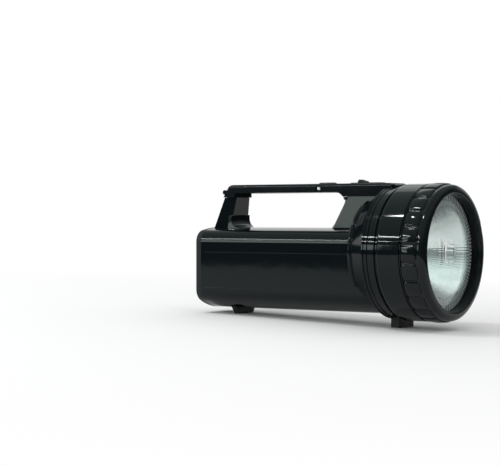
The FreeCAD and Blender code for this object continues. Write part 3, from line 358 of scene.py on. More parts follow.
# The panel's golden print with a bright blue stripe and a pale one beside it
def printedLabel():
    s = stripeShape
    mat, tree, shader = newMaterial("printedLabel")
    lamp = useGroup(tree, lampCoordinates)
    u, v = lamp.outputs["Across"], lamp.outputs["Up"]
    top, bottom = s["blueTop"], s["blueBottom"]
    lean = (bottom[0] - top[0]) / (bottom[1] - top[1])
    middle = math2(tree, "ADD", math2(tree, "MULTIPLY", math2(tree, "SUBTRACT", v, top[1]), lean), top[0])
    half = ramp(tree, v, top[1], bottom[1], s["blueHalfTop"], s["blueHalfBottom"])
    offset = math2(tree, "SUBTRACT", u, middle)
    past = math2(tree, "SUBTRACT", math2(tree, "ABSOLUTE", offset), half)
    blue = ramp(tree, past, -s["edge"], s["edge"], 1.0, 0.0)
    top, bottom = s["paleTop"], s["paleBottom"]
    lean = (bottom[0] - top[0]) / (bottom[1] - top[1])
    edge = math2(tree, "ADD", math2(tree, "MULTIPLY", math2(tree, "SUBTRACT", v, top[1]), lean), top[0])
    leftOfEdge = ramp(tree, math2(tree, "SUBTRACT", u, edge), -s["edge"], s["edge"], 1.0, 0.0)
    rightOfBlue = math2(tree, "GREATER_THAN", offset, 0.0)
    pale = math2(tree, "MULTIPLY", leftOfEdge, rightOfBlue)
    mottle = ramp(tree, noise(tree, lamp.outputs["Position"], s["mottleScale"], 4.0, 0.7), 0.3, 0.7)
    gold, grey, sky = [blendColour(tree, mottle, *s[band]) for band in ("gold", "grey", "sky")]
    colour = blendColour(tree, blue, blendColour(tree, pale, gold, grey), sky)
    tree.links.new(colour, shader.inputs["Base Color"])
    tree.links.new(ramp(tree, mottle, 0.0, 1.0, *s["rough"]), shader.inputs["Roughness"])
    shader.inputs["Specular IOR Level"].default_value = s["specular"]
    bump(tree, shader, noise(tree, lamp.outputs["Position"], s["grainScale"], 3.0), s["grain"] * mm)
    return mat


bowlPlan = {"pitch": 2.6, "cloudScale": 0.06, "cloudSpan": (0.35, 0.8), "light": srgb(240, 245, 244),
            "dark": srgb(214, 226, 224), "roughSpan": (0.3, 0.8), "rough": (0.03, 0.07), "ribs": 120.0,
            "ribSpan": (26.0, 44.0), "ringShare": 0.35, "height": 0.03}


# Vacuum plated bowl: bright, with faint rings and radial ribs and a few clouds in the plating
def reflectorFinish():
    s = bowlPlan
    mat, tree, shader = newMaterial("brightReflector")
    rings = useGroup(tree, turnedRings, Across=0.0, Up=0.0, Pitch=s["pitch"])
    lamp = useGroup(tree, lampCoordinates)
    cloudy = noise(tree, lamp.outputs["Position"], s["cloudScale"], 5.0, 0.6)
    mask = ramp(tree, cloudy, *s["cloudSpan"])
    tree.links.new(blendColour(tree, mask, s["light"], s["dark"]), shader.inputs["Base Color"])
    tree.links.new(ramp(tree, cloudy, *s["roughSpan"], *s["rough"]), shader.inputs["Roughness"])
    shader.inputs["Metallic"].default_value = 1.0
    turn = math2(tree, "ARCTAN2", lamp.outputs["Up"], lamp.outputs["Across"])
    ribs = math2(tree, "SINE", math2(tree, "MULTIPLY", turn, s["ribs"]))
    outward = ramp(tree, rings.outputs["Radius"], *s["ribSpan"])
    height = math2(tree, "ADD", math2(tree, "MULTIPLY", ribs, outward),
                   math2(tree, "MULTIPLY", rings.outputs["Height"], s["ringShare"]))
    bump(tree, shader, height, s["height"] * mm)
    return mat


# Green laminate with copper tracks under the varnish
def boardFinish():
    mat, tree, shader = newMaterial("circuitBoard")
    lamp = useGroup(tree, lampCoordinates)
    tracks = node(tree, "ShaderNodeTexBrick")
    tree.links.new(lamp.outputs["Position"], tracks.inputs["Vector"])
    tracks.inputs["Scale"].default_value = 0.12
    tracks.inputs["Mortar Size"].default_value = 0.09
    tracks.inputs["Color1"].default_value = srgb(24, 92, 52)
    tracks.inputs["Color2"].default_value = srgb(20, 80, 46)
    tracks.inputs["Mortar"].default_value = srgb(58, 128, 60)
    tree.links.new(tracks.outputs["Color"], shader.inputs["Base Color"])
    tree.links.new(ramp(tree, tracks.outputs["Fac"], 0.0, 1.0, 0.45, 0.3), shader.inputs["Roughness"])
    bump(tree, shader, tracks.outputs["Fac"], 0.04 * mm)
    return mat


# Enamelled wire, laid turn by turn along the beam, with painted shade between the turns and a painted
# highlight on each turn
def windingFinish():
    mat, tree, shader = newMaterial("enamelledWire")
    lamp = useGroup(tree, lampCoordinates)
    turns = math2(tree, "SINE", math2(tree, "MULTIPLY", lamp.outputs["Along"], 14.0))
    # Painted shade in the grooves between turns and painted highlight on their tops, following the bump's
    # wave; the wire is one copper colour
    tree.links.new(blendColour(tree, ramp(tree, turns, -1.0, 1.0), srgb(92, 38, 16), srgb(196, 104, 52)),
                   shader.inputs["Base Color"])
    tree.links.new(ramp(tree, turns, -1.0, 1.0, 0.5, 0.25), shader.inputs["Roughness"])
    shader.inputs["Metallic"].default_value = 0.7
    bump(tree, shader, turns, 0.1 * mm)
    return mat


print("building finishes")
shellBlack = plasticFinish("shellBlack", srgb(12, 18, 20), 0.05, 1.2, 0.03, 0.9, 0.5, 0.2, 0.05)
ringBlack = plasticFinish("ringBlack", srgb(13, 18, 20), 0.06, 1.2, 0.03, 0.6, 0.5, 0.22, 0.05)
gripBlack = plasticFinish("gripBlack", srgb(14, 18, 21), 0.09, 2.2, 0.1, 0.4, 0.6, 0.17, 0.05)
bezelBlack = plasticFinish("bezelBlack", srgb(25, 29, 34), 0.36, 3.0, 0.8, 0.2, 0.7, 0.22, 0.06)
footBlack = plasticFinish("footBlack", srgb(26, 28, 30), 0.5, 2.5, 0.8, 0.2, 0.4, 0.35, 0.06)
sliderBlack = plasticFinish("sliderBlack", srgb(24, 25, 26), 0.42, 3.0, 0.6, 0.1, 0.5, 0.4, 0.05)
panelBlack = plasticFinish("panelBlack", srgb(34, 34, 34), 0.5, 3.0, 0.6, 0.1, 0.2, 0.4, 0.05)
whiteCeramic = plasticFinish("whiteCeramic", srgb(222, 219, 210), 0.55, 2.0, 0.9, 0.2, 0.3, 0.4, 0.08)
blackRubber = plasticFinish("blackRubber", srgb(28, 28, 28), 0.75, 2.5, 1.0, 0.2, 0.5, 0.3, 0.08)
capacitorBlue = plasticFinish("capacitorBlue", srgb(26, 34, 84), 0.22, 1.2, 0.1, 0.6, 0.2, 0.5, 0.04)
ferriteGrey = plasticFinish("ferriteGrey", srgb(62, 62, 66), 0.6, 2.4, 1.0, 0.2, 0.2, 0.4, 0.08)
batteryGrey = plasticFinish("batteryGrey", srgb(74, 76, 80), 0.48, 2.6, 0.8, 0.3, 0.3, 0.4, 0.07)
displayGrey = plasticFinish("displayGrey", srgb(176, 200, 189), 0.35, 1.0, 0.15, 0.2, 0.0, 0.3, 0.02)
brightSteel = metalFinish("brightSteel", srgb(205, 206, 205), 0.18)
zincSteel = metalFinish("zincSteel", srgb(190, 190, 182), 0.32)
shaftSteel = metalFinish("shaftSteel", srgb(186, 188, 190), 0.28)
turnedBrass = metalFinish("turnedBrass", srgb(204, 170, 96), 0.28)
knobAluminium = turnedFinish("knobAluminium", list(knobSpots.values()))
lensGlass = glassFinish("lensGlass", (0.985, 1.0, 0.995, 1.0), 0.0, 1.5, 0.01)
domeGlass = glassFinish("domeGlass", (0.95, 0.98, 0.98, 1.0), 0.0, 1.47, 0.02)
quartzGlass = glassFinish("quartzGlass", (0.97, 0.98, 0.99, 1.0), 0.0, 1.46, 0.01)
windowClear = glassFinish("windowClear", (0.96, 0.98, 0.96, 1.0), 0.0, 1.49, 0.02)
flutedGlassPaintedLight = fluteFinish()

finishOfNode = {
    "body_housing": shellBlack, "head_housing": shellBlack, "head_ring": ringBlack, "lens": lensGlass,
    "lens_gasket": blackRubber, "reflector": reflectorFinish(), "tube_socket": whiteCeramic,
    "xenon_tube": quartzGlass, "lamp_dome": domeGlass, "trigger_coil": panelBlack,
    "trigger_winding": windingFinish(), "grip_cover": gripBlack, "grip_pin": brightSteel,
    "slider_plate": gripBlack, "thumb_slider": sliderBlack, "power_switch": panelBlack,
    "rear_bezel": bezelBlack, "panel_plate": panelBlack, "panel_label": printedLabel(),
    "panel_screws": zincSteel, "lcd_window": windowClear, "lcd_glass": displayGrey,
    "lcd_frame": panelBlack, "control_board": boardFinish(), "board_spacers": turnedBrass,
    "fine_knob": knobAluminium, "coarse_knob": knobAluminium, "fine_shaft": shaftSteel,
    "coarse_shaft": shaftSteel, "fine_potentiometer": zincSteel, "coarse_potentiometer": zincSteel,
    "pot_nuts": zincSteel, "range_switch": zincSteel, "range_slider": sliderBlack,
    "power_board": bpy.data.materials["circuitBoard"], "board_screws": zincSteel,
    "storage_capacitor": capacitorBlue, "inverter_transformer": ferriteGrey,
    "battery_pack": batteryGrey, "battery_tabs": turnedBrass, "battery_strap": zincSteel,
    "front_foot": footBlack, "rear_foot": footBlack,
}
for name, finish in finishOfNode.items():
    for slot in nodes[name].material_slots:
        slot.material = finish


# Pieces made here

def pieceFromMesh(name, mesh, finish, body, smooth=True):
    piece = bpy.data.objects.new(name, mesh)
    bpy.context.scene.collection.objects.link(piece)
    mesh.materials.append(finish)
    for face in mesh.polygons:
        face.use_smooth = smooth
    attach(piece, body)
    return piece


# Edges that turn by more than the angle stay crisp
def crease(piece, degrees):
    piece.modifiers.new("crease", "EDGE_SPLIT").split_angle = math.radians(degrees)


def meshFrom(points, faces, name):
    mesh = bpy.data.meshes.new(name)
    mesh.from_pydata([tuple(p) for p in points], [], faces)
    mesh.validate()
    tidy = bmesh.new()
    tidy.from_mesh(mesh)
    bmesh.ops.recalc_face_normals(tidy, faces=tidy.faces)
    tidy.to_mesh(mesh)
    tidy.free()
    return mesh


lensShape = {
    "radius": 57.2, "front": -8.1, "rear": -11.1, "rise": 4.5, "edgeRound": 0.4, "stepsPerFlute": 5,
    "rows": [(44.0, 48.8, 0.8, 0.0), (49.4, 54.6, 1.1, 0.5)],  # inner and outer radius, depth, phase
    "flutes": 96, "eyeRadius": 12.5, "eyeRise": 1.3, "eyeStep": 0.35, "hollow": 3.4, "fluteReach": 2.1,
    "edgeShare": 0.94, "edgeStep": 1.5, "fluteEnd": 0.4, "frontEye": [3, 6, 9, 11.4], "eyeFoot": 0.5,
    "frontOuter": [18, 25, 32, 39, 46], "backOuter": [38, 30, 22],
    "backEyeStep": 1.2, "backEye": [10.5, 7, 3.5],
}


# A clear domed disc with a bull's eye in the middle and two rows of radial flutes at its rim
def buildLens():
    s = lensShape
    around = s["flutes"] * s["stepsPerFlute"]
    edge = s["radius"] * s["edgeShare"]
    eye = s["eyeRadius"]
    frontRings = s["frontEye"] + [eye, eye + s["eyeFoot"]] + s["frontOuter"]
    frontRings += [edge, s["radius"] - s["edgeRound"], s["radius"]]
    backRings = [s["radius"], edge + s["edgeStep"]]
    for low, high, _, _ in reversed(s["rows"]):
        backRings += [high, high - s["fluteEnd"], (high + low) / 2, low + s["fluteEnd"], low]
    backRings += s["backOuter"] + [eye + s["backEyeStep"], eye] + s["backEye"]

    def frontX(r, angle=0):
        if r >= edge:
            return s["front"] - (s["edgeRound"] if r >= s["radius"] else 0.0)
        x = s["front"] + s["rise"] * (1 - (r / edge) ** 2)
        if r <= eye:
            foot = s["eyeStep"] * (r == eye)
            x += s["eyeStep"] + (s["eyeRise"] - s["eyeStep"]) * (1 - (r / eye) ** 2) - foot
        return x

    def backX(r, angle):
        x = s["rear"]
        if r < edge:
            x += s["hollow"] * (1 - (r / edge) ** 2)
        for low, high, depth, phase in s["rows"]:
            if low < r < high:
                wave = math.cos(angle * s["flutes"] + phase * 2 * math.pi)
                x += depth * (0.5 + 0.5 * wave) - depth / 2
        return x

    def ring(r, place):
        angles = [2 * math.pi * i / around for i in range(around)]
        return [lampPoint(place(r, a), r * math.cos(a), r * math.sin(a)) for a in angles]

    points = [lampPoint(s["front"] + s["rise"] + s["eyeRise"], 0, 0)]
    rows = []
    for place, rings in ((frontX, frontRings), (backX, backRings)):
        for r in rings:
            rows.append(len(points))
            points += ring(r, place)
    points.append(lampPoint(s["rear"] + s["hollow"], 0, 0))
    faces = [(0, rows[0] + i, rows[0] + (i + 1) % around) for i in range(around)]
    for low, high in zip(rows, rows[1:]):
        faces += [(low + i, high + i, high + (i + 1) % around, low + (i + 1) % around) for i in range(around)]
    faces += [(len(points) - 1, rows[-1] + (i + 1) % around, rows[-1] + i) for i in range(around)]
    piece = pieceFromMesh("lens_fluted", meshFrom(points, faces, "lensFluted"), lensGlass, "lens_unit")
    piece.data.materials.append(flutedGlassPaintedLight)
    for face in piece.data.polygons:
        middle = lampTurn.transposed() @ (face.center - ringFace) / mm
        reach = math.hypot(middle.y, middle.z)
        inRow = any(low < reach < high for low, high, _, _ in s["rows"])
        if inRow and middle.x < s["rear"] + s["fluteReach"]:
            face.material_index = 1
    crease(piece, 60)
    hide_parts("lens")


ringShape = {
    "pads": 24, "stepsPerPad": 22, "radius": 64.54, "rear": -22.5, "padRear": -21.0, "padFront": -5.6,
    "grooveWidth": 1.5, "grooveDepth": 1.15, "corner": 2.6, "edgeSoft": 1.3, "bulge": 0.7,
    "rimRadius": 63.44, "rimFront": 2.0, "rimAlong": 4.6, "rimOut": 6.4, "opening": 55.04, "lipRound": 1.0,
    "depth": -8.0, "seat": 57.64, "seatRear": -13.0, "bore": 60.22,
    "rearChamfer": 0.8, "rearSoft": 0.25, "padLead": 0.3, "padFoot": 0.1, "grooveEnd": 0.5, "rimFoot": 0.6,
    "padRows": 24, "rimSteps": 12, "lipSteps": 5, "lipRise": (0.02, 0.1), "boreStep": -3.0,
}


# How far a rounded pad stands above the groove round it, at mm across and along from its middle
def padHeight(a, b, halfWide, halfLong):
    s = ringShape
    da, db = abs(a) - halfWide + s["corner"], abs(b) - halfLong + s["corner"]
    outside = math.hypot(max(da, 0), max(db, 0)) + min(max(da, db), 0) - s["corner"]
    rise = min(max(-outside / s["edgeSoft"], 0), 1)
    crown = max(1 - (a / halfWide) ** 2, 0) * max(1 - (b / halfLong) ** 2, 0)
    return s["grooveDepth"] * math.sqrt(1 - (1 - rise) ** 2) + s["bulge"] * crown


# The screwed ring with its moulded grip pads, soft front rim and lens seat
def buildRing():
    s = ringShape
    around = s["pads"] * s["stepsPerPad"]
    middle, halfLong = (s["padRear"] + s["padFront"]) / 2, (s["padFront"] - s["padRear"]) / 2
    halfWide = math.pi * s["radius"] / s["pads"] - s["grooveWidth"] / 2
    floor = s["radius"] - s["grooveDepth"]
    stations = [-halfLong + 2 * halfLong * i / s["padRows"] for i in range(s["padRows"] + 1)]
    stations = [-halfLong + s["edgeSoft"] / 3, -halfLong + s["edgeSoft"] * 2 / 3] + stations
    stations = sorted(stations + [halfLong - s["edgeSoft"] / 3, halfLong - s["edgeSoft"] * 2 / 3])
    rows = [(s["rear"], s["bore"]), (s["rear"], s["radius"] - s["rearChamfer"]),
            (s["rear"] + s["rearSoft"], s["radius"] - s["rearSoft"]),
            (s["rear"] + s["rearChamfer"], s["radius"]),
            (s["padRear"] - s["padLead"], s["radius"]), (s["padRear"] - s["padFoot"], floor)]
    rows += [(middle + b, None) for b in stations]
    rows += [(s["padFront"] + s["padFoot"], floor), (s["padFront"] + s["grooveEnd"], floor),
             (s["padFront"] + s["rimFoot"], s["rimRadius"])]
    for step in range(s["rimSteps"] + 1):
        turn = math.pi / 2 * step / s["rimSteps"]
        rows.append((s["rimFront"] - s["rimAlong"] * (1 - math.sin(turn)),
                     s["rimRadius"] - s["rimOut"] * (1 - math.cos(turn))))
    inner = s["opening"] + s["lipRound"]
    rows += [(s["rimFront"], inner + s["lipRise"][1]), (s["rimFront"] - s["lipRise"][0], inner)]
    for step in range(1, s["lipSteps"] + 1):
        turn = math.pi / 2 * step / s["lipSteps"]
        rows.append((s["rimFront"] - s["lipRound"] * (1 - math.cos(turn)),
                     inner - s["lipRound"] * math.sin(turn)))
    rows += [(s["boreStep"], s["opening"]), (s["depth"], s["opening"]), (s["depth"], s["seat"]),
             (s["seatRear"], s["seat"]), (s["seatRear"], s["bore"])]
    points = []
    for x, r in rows:
        for i in range(around):
            radius = r
            if radius is None:
                place = (i / s["stepsPerPad"] + 0.5) % 1 - 0.5
                a = place * 2 * math.pi * s["radius"] / s["pads"]
                radius = floor + padHeight(a, x - middle, halfWide, halfLong)
            angle = 2 * math.pi * i / around
            points.append(lampPoint(x, radius * math.sin(angle), radius * math.cos(angle)))
    count = len(rows)
    faces = []
    for row in range(count):
        low, high = row * around, (row + 1) % count * around
        faces += [(low + i, low + (i + 1) % around, high + (i + 1) % around, high + i) for i in range(around)]
    piece = pieceFromMesh("ring_moulded", meshFrom(points, faces, "ringMoulded"), ringBlack, "ring")
    crease(piece, 48)
    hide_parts("head_ring")


buildRing()


flareShape = {
    "footX": -244.5, "footZ": 12.0, "neckX": -237.5, "neckZ": 53.0, "footWidth": 38.0, "neckWidth": 28.6,
    "height": 13.0, "reach": 13.5, "crownTop": 23.0, "crownRadius": 140.0, "steps": 10, "across": 12,
    "proud": 0.06, "inset": 0.4, "thick": 1.5,
}


# The soft curve from the rear post's window face down into the crown of the body
def buildPostFlare():
    s = flareShape
    lean = (s["neckX"] - s["footX"]) / (s["neckZ"] - s["footZ"])
    narrowing = (s["footWidth"] - s["neckWidth"]) / (s["neckZ"] - s["footZ"])
    points = []
    for row in range(s["steps"] + 1):
        t = row / s["steps"]
        rise = s["height"] * (1 - t) ** 2
        width = s["footWidth"] / 2 - narrowing / 2 * (s["crownTop"] + rise - s["footZ"]) - s["inset"]
        for column in range(s["across"] + 1):
            y = width * (2 * column / s["across"] - 1)
            crown = s["crownTop"] - s["crownRadius"] + math.sqrt(s["crownRadius"] ** 2 - y * y)
            x = s["footX"] + lean * (crown + rise - s["footZ"]) + s["reach"] * t ** 2
            points.append(lampPoint(x + s["proud"] * (1 - t), y, crown + rise + s["proud"] * t))
            points.append(lampPoint(s["footX"], y, crown + rise - s["thick"] - t))
    faces = []
    line = 2 * (s["across"] + 1)
    for row in range(s["steps"]):
        for column in range(s["across"]):
            a = row * line + 2 * column
            faces.append((a, a + 2, a + line + 2, a + line))
            faces.append((a + 1, a + line + 1, a + line + 3, a + 3))
        a, b = row * line, row * line + line - 2
        faces += [(a, a + line, a + line + 1, a + 1), (b, b + 1, b + line + 1, b + line)]
    for start in (0, s["steps"] * line):
        for column in range(s["across"]):
            a = start + 2 * column
            faces.append((a, a + 1, a + 3, a + 2) if start else (a, a + 2, a + 3, a + 1))
    piece = pieceFromMesh("post_flare", meshFrom(points, faces, "postFlare"), shellBlack, "housing")
    crease(piece, 40)


buildPostFlare()


knobShape = {
    "base": -269.4, "teeth": 36, "stepsPerTooth": 6, "toothDepth": 0.55, "toothCurve": 1.5,
    # mm behind the base, radius, share of the tooth's depth
    "profile": [(0.0, 5.0, 0), (0.0, 9.3, 0), (0.4, 9.7, 0), (1.4, 9.7, 0), (1.8, 9.35, 0), (2.0, 8.3, 0.6),
                (2.3, 8.5, 1), (6.0, 8.25, 1), (10.6, 7.95, 1), (11.2, 7.8, 0.7), (11.5, 7.3, 0),
                (12.0, 7.15, 0), (13.9, 7.0, 0), (14.35, 6.75, 0), (14.5, 6.3, 0), (14.35, 6.0, 0),
                (14.3, 3.0, 0)],
}


# Turned aluminium knobs: a smooth flange, rows of teeth round the sleeve and a bright stepped cap
def buildKnobs():
    s = knobShape
    around = s["teeth"] * s["stepsPerTooth"]
    for side, (y, z) in knobSpots.items():
        points = []
        for back, radius, share in s["profile"]:
            for i in range(around):
                swing = 0.5 + 0.5 * math.cos(2 * math.pi * i / s["stepsPerTooth"])
                r = radius - share * s["toothDepth"] * (1 - swing) ** s["toothCurve"]
                angle = 2 * math.pi * i / around
                points.append(lampPoint(s["base"] - back, y + r * math.cos(angle), z + r * math.sin(angle)))
        name = side + "_knob"
        count = len(s["profile"])
        faces = [tuple(range(around)), tuple(range(count * around - 1, (count - 1) * around - 1, -1))]
        for row in range(count - 1):
            low, high = row * around, (row + 1) * around
            faces += [(low + i, low + (i + 1) % around, high + (i + 1) % around, high + i)
                      for i in range(around)]
        piece = pieceFromMesh(name + "_toothed", meshFrom(points, faces, name), knobAluminium, side + "_dial")
        crease(piece, 35)
        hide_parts(name)


buildKnobs()
buildLens()
print("lens made")


panelPrint = {
    "faceX": -268.8, "lift": 0.02, "ink": srgb(44, 46, 44),
    "legends": [("FINE", -0.2, -10.6, 2.3), ("COARSE", 22.6, -10.4, 2.3),
                ("H", -28.2, -1.6, 2.3), ("M", -22.4, -1.6, 2.3), ("L", -16.6, -1.6, 2.3)],
    "arcRadius": 13.6, "arcHalfAngle": 28, "arcWidth": 0.28, "arcSteps": 16, "arrowHalf": 0.62,
    "arrowLong": 1.2, "arrowThick": 0.02, "signOut": 2.3, "signDown": 1.6, "signHeight": 1.9,
}


def inkFinish(name, colour):
    return plasticFinish(name, colour, 0.5, 2.0, 0.3, 0.1, 0.0, 0.3, 0.01)


panelInk = inkFinish("panelInk", panelPrint["ink"])
displayInk = inkFinish("displayInk", srgb(46, 60, 62))
body = "housing"


letterShape = {"sizeOfHeight": 1.38, "spacing": 1.15, "thick": 0.01}


# Plain letters lying in the panel's plane, their middle (u, v) mm right and up as the panel is read
def flatText(name, words, u, v, height, faceX, finish):
    curve = bpy.data.curves.new(name, "FONT")
    curve.body = words
    curve.size = height * letterShape["sizeOfHeight"] * mm
    curve.align_x = "CENTER"
    curve.align_y = "CENTER"
    curve.space_character = letterShape["spacing"]
    curve.extrude = letterShape["thick"] * mm
    made = bpy.data.objects.new(name, curve)
    bpy.context.scene.collection.objects.link(made)
    turn = Matrix((across, -upward, -beam)).transposed().to_4x4()
    bpy.context.view_layer.update()
    mesh = bpy.data.meshes.new_from_object(made)
    mesh.transform(Matrix.Translation(lampPoint(faceX, u, -v)) @ turn)
    bpy.data.objects.remove(made)
    return pieceFromMesh(name, mesh, finish, body, False)


# A thin printed line through (u, v) points
def ribbon(name, points, width, faceX, finish, thick=0.02):
    made, faces = [], []
    for i, (u, v) in enumerate(points):
        back = points[max(i - 1, 0)]
        ahead = points[min(i + 1, len(points) - 1)]
        run = Vector((ahead[0] - back[0], ahead[1] - back[1])).normalized()
        side = Vector((-run.y, run.x)) * width / 2
        for sign in (1, -1):
            for depth in (0, thick):
                made.append(lampPoint(faceX - depth, u + sign * side.x, -(v + sign * side.y)))
    for i in range(len(points) - 1):
        a, b = i * 4, i * 4 + 4
        faces += [(a, a + 1, b + 1, b), (a + 2, b + 2, b + 3, a + 3), (a + 1, a + 3, b + 3, b + 1),
                  (a, b, b + 2, a + 2)]
    faces += [(0, 2, 3, 1), (len(made) - 4, len(made) - 3, len(made) - 1, len(made) - 2)]
    return pieceFromMesh(name, meshFrom(made, faces, name), finish, body, False)


# A flat shape from a closed (u, v) outline
def plate(name, outline, faceX, finish, thick=0.03):
    count = len(outline)
    points = [lampPoint(faceX, u, -v) for u, v in outline]
    points += [lampPoint(faceX - thick, u, -v) for u, v in outline]
    faces = [tuple(range(count)), tuple(range(2 * count - 1, count - 1, -1))]
    faces += [(i, (i + 1) % count, count + (i + 1) % count, count + i) for i in range(count)]
    return pieceFromMesh(name, meshFrom(points, faces, name), finish, body, False)


def buildPanelPrint():
    s = panelPrint
    face = s["faceX"] - s["lift"]
    for words, u, z, height in s["legends"]:
        flatText("legend_" + words.lower(), words, u, -z, height, face, panelInk)
    for number, (u, z) in enumerate(knobSpots.values()):
        r = s["arcRadius"]
        start, sweep = 90 - s["arcHalfAngle"], s["arcHalfAngle"] * 2
        angles = [math.radians(start + sweep * i / s["arcSteps"]) for i in range(s["arcSteps"] + 1)]
        line = [(u + r * math.cos(a), -z + r * math.sin(a)) for a in angles]
        ribbon("turn_arc_%d" % number, line, s["arcWidth"], face, panelInk)
        for tip, back in ((line[0], line[2]), (line[-1], line[-3])):
            run = Vector((tip[0] - back[0], tip[1] - back[1])).normalized()
            side = Vector((-run.y, run.x)) * s["arrowHalf"]
            end = Vector(tip) + run * s["arrowLong"]
            outline = [tuple(end), tuple(Vector(tip) + side), tuple(Vector(tip) - side)]
            label = "turn_arrow_%d_%s" % (number, "plus" if tip == line[0] else "minus")
            plate(label, outline, face, panelInk, s["arrowThick"])
        edge = r * math.sin(math.radians(s["arcHalfAngle"])) + s["signOut"]
        low = -z + r * math.cos(math.radians(s["arcHalfAngle"])) - s["signDown"]
        flatText("plus_%d" % number, "+", u + edge, low, s["signHeight"], face, panelInk)
        flatText("minus_%d" % number, "-", u - edge, low, s["signHeight"], face, panelInk)


displayShape = {
    "glassX": -266.3, "digitHeight": 13.0, "digitWidth": 6.3, "pitch": 8.1, "firstAcross": -9.6,
    "middleUp": -29.6, "stroke": 1.75, "gap": 0.14, "slant": 0.08, "reading": "3390",
    "pointPlace": 2.5, "pointShift": 0.2, "pointHalf": 0.8, "unit": (22.2, 3.6, 1.75), "lift": 0.01,
    "mark": (10.6, 9.6), "markRadius": 0.55, "waves": ((1.3, 1), (1.3, -1), (2.2, 1), (2.2, -1)),
    "waveHalfAngle": 45, "waveStep": 15, "waveWidth": 0.32, "waveThick": 0.03,
}
segmentsOf = {"3": "abcdg", "9": "abcdfg", "0": "abcdef"}


# Four digits of seven slanted bars each, a point, a unit and a small flash mark
def buildDisplay():
    s = displayShape
    w, h, t = s["digitWidth"] / 2, s["digitHeight"] / 2, s["stroke"] / 2
    g = s["gap"]
    bars = {"a": ((-w, h - t), (w, h - t)), "g": ((-w, 0), (w, 0)), "d": ((-w, -h + t), (w, -h + t)),
            "b": ((w - t, h), (w - t, 0)), "c": ((w - t, 0), (w - t, -h)),
            "f": ((-w + t, h), (-w + t, 0)), "e": ((-w + t, 0), (-w + t, -h))}
    for place, digit in enumerate(s["reading"]):
        middle = s["firstAcross"] + place * s["pitch"]
        for segment in segmentsOf[digit]:
            (u0, v0), (u1, v1) = bars[segment]
            if v0 == v1:
                outline = [(u0 + g, v0), (u0 + t + g, v0 + t), (u1 - t - g, v0 + t), (u1 - g, v0),
                           (u1 - t - g, v0 - t), (u0 + t + g, v0 - t)]
            else:
                high, low = v0 - g, v1 + g
                outline = [(u0, high), (u0 + t, high - t), (u0 + t, low + t), (u0, low), (u0 - t, low + t),
                           (u0 - t, high - t)]
            slanted = [(middle + u + v * s["slant"], -s["middleUp"] + v) for u, v in outline]
            plate("digit_%d_%s" % (place, segment), slanted, s["glassX"], displayInk)
    pointAt = s["firstAcross"] + s["pointPlace"] * s["pitch"] - s["pointShift"]
    low = -s["middleUp"] - h
    left, right, high = pointAt - s["pointHalf"], pointAt + s["pointHalf"], low + 2 * s["pointHalf"]
    dot = [(left, low), (right, low), (right, high), (left, high)]
    plate("digit_point", dot, s["glassX"], displayInk)
    unitU, unitV, unitHeight = s["unit"]
    unitV -= s["middleUp"]
    flatText("display_unit", "RPM", unitU, unitV, unitHeight, s["glassX"] - s["lift"], displayInk)
    u, v = s["mark"][0], -s["middleUp"] + s["mark"][1]
    spot = [(u + s["markRadius"] * math.cos(a * math.pi / 4), v + s["markRadius"] * math.sin(a * math.pi / 4))
            for a in range(8)]
    plate("flash_mark", spot, s["glassX"], displayInk)
    for number, (r, sign) in enumerate(s["waves"]):
        arc = [(u + sign * r * math.cos(math.radians(a)), v + r * math.sin(math.radians(a)))
               for a in range(-s["waveHalfAngle"], s["waveHalfAngle"] + 1, s["waveStep"])]
        ribbon("flash_wave_%d" % number, arc, s["waveWidth"], s["glassX"], displayInk, s["waveThick"])


buildPanelPrint()
buildDisplay()
print("panel print and display made")


# Floor, lights and camera

stagePlan = {"radius": 1.0, "sides": 96, "drop": 0.0002, "colour": 0.9, "fadeFrom": 0.3, "fadeTo": 0.8,
             "ambient": 0.8, "rough": 0.9, "specular": 0.1}


# A pale floor that keeps the lamp's shadow and runs out into plain white further off
def buildStage():
    s = stagePlan
    turns = [2 * math.pi * i / s["sides"] for i in range(s["sides"])]
    mesh = bpy.data.meshes.new("floor")
    mesh.from_pydata([(s["radius"] * math.cos(a), s["radius"] * math.sin(a), 0) for a in turns], [],
                     [tuple(range(s["sides"]))])
    floor = bpy.data.objects.new("floor", mesh)
    bpy.context.scene.collection.objects.link(floor)
    floor.location.z = -s["drop"]
    mat, tree, shader = newMaterial("paleFloor")
    shader.inputs["Base Color"].default_value = (s["colour"], s["colour"], s["colour"], 1.0)
    shader.inputs["Roughness"].default_value = s["rough"]
    shader.inputs["Specular IOR Level"].default_value = s["specular"]
    coord = node(tree, "ShaderNodeTexCoord")
    away = node(tree, "ShaderNodeVectorMath", operation="LENGTH")
    tree.links.new(coord.outputs["Object"], away.inputs[0])
    fade = ramp(tree, away.outputs["Value"], s["fadeFrom"], s["fadeTo"])
    path = node(tree, "ShaderNodeLightPath")
    seen = math2(tree, "MAXIMUM", path.outputs["Is Camera Ray"], path.outputs["Is Transmission Ray"])
    seen = math2(tree, "MAXIMUM", seen, path.outputs["Is Glossy Ray"])
    white = node(tree, "ShaderNodeEmission")
    white.inputs["Color"].default_value = plainWhite
    mix = node(tree, "ShaderNodeMixShader")
    tree.links.new(math2(tree, "MULTIPLY", fade, seen), mix.inputs["Fac"])
    tree.links.new(shader.outputs["BSDF"], mix.inputs[1])
    tree.links.new(white.outputs["Emission"], mix.inputs[2])
    surface = next(n for n in tree.nodes if n.bl_idname == "ShaderNodeOutputMaterial").inputs["Surface"]
    tree.links.new(mix.outputs["Shader"], surface)
    mesh.materials.append(mat)


roomPlan = {"behind": (-0.57, 0.82), "bandLevel": 0.03, "bandFrom": 0.2, "bandTo": 0.6, "ceiling": 0.55,
            "sideFrom": 0.45, "sideTo": 0.75, "roomTint": (0.88, 1.0, 0.97, 1.0),
            "backdropTop": 0.45, "backdropFade": 0.15, "glassLow": 0.3, "glassHigh": 1.0, "glassFade": 0.1}


